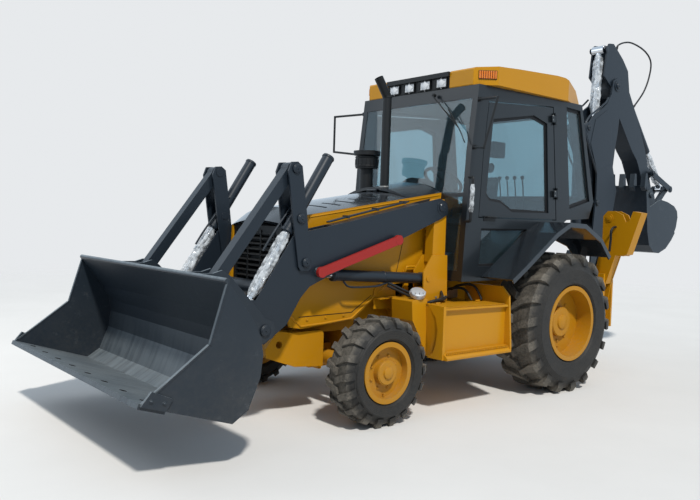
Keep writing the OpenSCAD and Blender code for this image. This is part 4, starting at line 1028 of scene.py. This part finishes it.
form = bmesh.new()
for side in (-1, 1):
    pin_cap(form, -1780, side * 136, 850, side, 30, nipple=False)
    pin_cap(form, -2153, side * 142, 3221, side, 30)
    pin_cap(form, -1594, side * 134, 2674, side, 26)
    pin_cap(form, -1837, side * 138, 1819, side, 28)
    # Stiffening plate on the hump, and the tube over it
    slab(form, [(-1800, 2180), (-1640, 2500), (-1720, 2780), (-1960, 2920), (-2060, 2700),
                (-2090, 2300)], side * 129.5, side * 134)
    pipe(form, spots(((-1790, 134, 2160), (-1660, 146, 2330), (-1540, 148, 2520),
                      (-1482, 148, 2660), (-1560, 148, 2790), (-1720, 148, 2890),
                      (-1880, 148, 2990), (-1960, 134, 3060)), side), 11)
made("boom_fittings", form, slate, "boom", 35)

form = bmesh.new()
for y in (-34, 34):
    pipe(form, spots_at(y, ((-2480, 3080), (-2560, 2960), (-2740, 2690), (-2900, 2420),
                            (-2960, 2260))), 9)
for x, z in ((-2640, 2850), (-2800, 2595), (-2915, 2380)):
    brick(form, (x - 16, -60, z - 22), (x + 16, 60, z + 22))
for side in (-1, 1):
    pin_cap(form, -3024, side * 171, 2237, side, 24)
    # Flat disc on the cylinder's pin, where the boom leaves no room for a cap
    lathe(form, spot(-1935, side * 105, 3625), (0, side, 0),
          [(34, 0), (34, 2.5), (31, 3.5), (1, 3.5)], 32)
made("dipper_fittings", form, slate, "dipper", 35)

# Hose that loops out from the dipper's top and back in beside the bucket cylinder
form = bmesh.new()
pipe(form, spots(((-2150, 92, 3650), (-2183, 92, 3712), (-2330, 88, 3772), (-2510, 84, 3797),
                  (-2760, 82, 3768), (-2930, 80, 3700), (-2990, 80, 3600), (-2950, 80, 3430),
                  (-2850, 82, 3260), (-2700, 84, 3110), (-2580, 84, 3010))), 10, 12, 5)
for end, way in (((-2158, 90, 3662), (-0.5, 0, 0.87)), ((-2610, 84, 3032), (-0.8, 0, 0.6))):
    lathe(form, spot(*end), way, [(15, -8), (15, 18), (12, 20), (12, 44)], 6)
made("dipper_hose", form, hose_rubber, "dipper", 40)

form = bmesh.new()
for y in (-72, -24, 24, 72):
    pipe(form, spots_at(y, ((-2120, 2640), (-2290, 2800), (-2440, 3000), (-2500, 3090))), 10)
hose = made("pivot_hoses", form, hose_rubber, None, 40)
tuple(spot(-2160, 0, 2680))
tuple(spot(-2480, 0, 3060))
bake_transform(hose)

form = bmesh.new()
for side in (-1, 1):
    pin_cap(form, -3040, side * 141, 1960, side, 28)
for i in range(-2, 3):
    slab(form, [(-2606, 1980), (-2622, 2060), (-2603, 2206), (-2562, 2206), (-2545, 2040)],
         i * 145 - 30, i * 145 + 30)
made("digger_teeth", form, bucket_paint, "digging_bucket", 35, 3)

# ---------------------------------------------------------------- stabilizers
# Two welded legs in yellow enamel, each swung by a slate-blue cylinder, with rings on
# the pins of the leg and of its pad. A bent black bar hangs on the left leg.

for side, word in ((1, "left"), (-1, "right")):
    leg = "stabilizer_" + word
    finish_nodes(enamel, leg)
    finish_nodes(slate, "stabilizer_barrel_" + word)
    finish_nodes(chrome, "stabilizer_rod_" + word)
    form = bmesh.new()
    for x, out in ((-1266, -1), (-1146, 1)):
        lathe(form, spot(x, side * 600, 620), (out, 0, 0), [(46, 0), (46, 4), (25, 4)], 32)
        lathe(form, spot(x, side * 715, 1640), (out, 0, 0),
              [(42, 0), (42, 6), (24, 6), (24, 12), (1, 13)], 32)
    made("leg_fittings_" + word, form, enamel, leg, 35)
form = bmesh.new()
pipe(form, spots(((-1060, 782, 1290), (-1062, 790, 1420), (-1060, 792, 1500),
                  (-1100, 792, 1540), (-1180, 790, 1545), (-1240, 786, 1520))), 12)
made("leg_hook", form, soot, "stabilizer_left", 40)
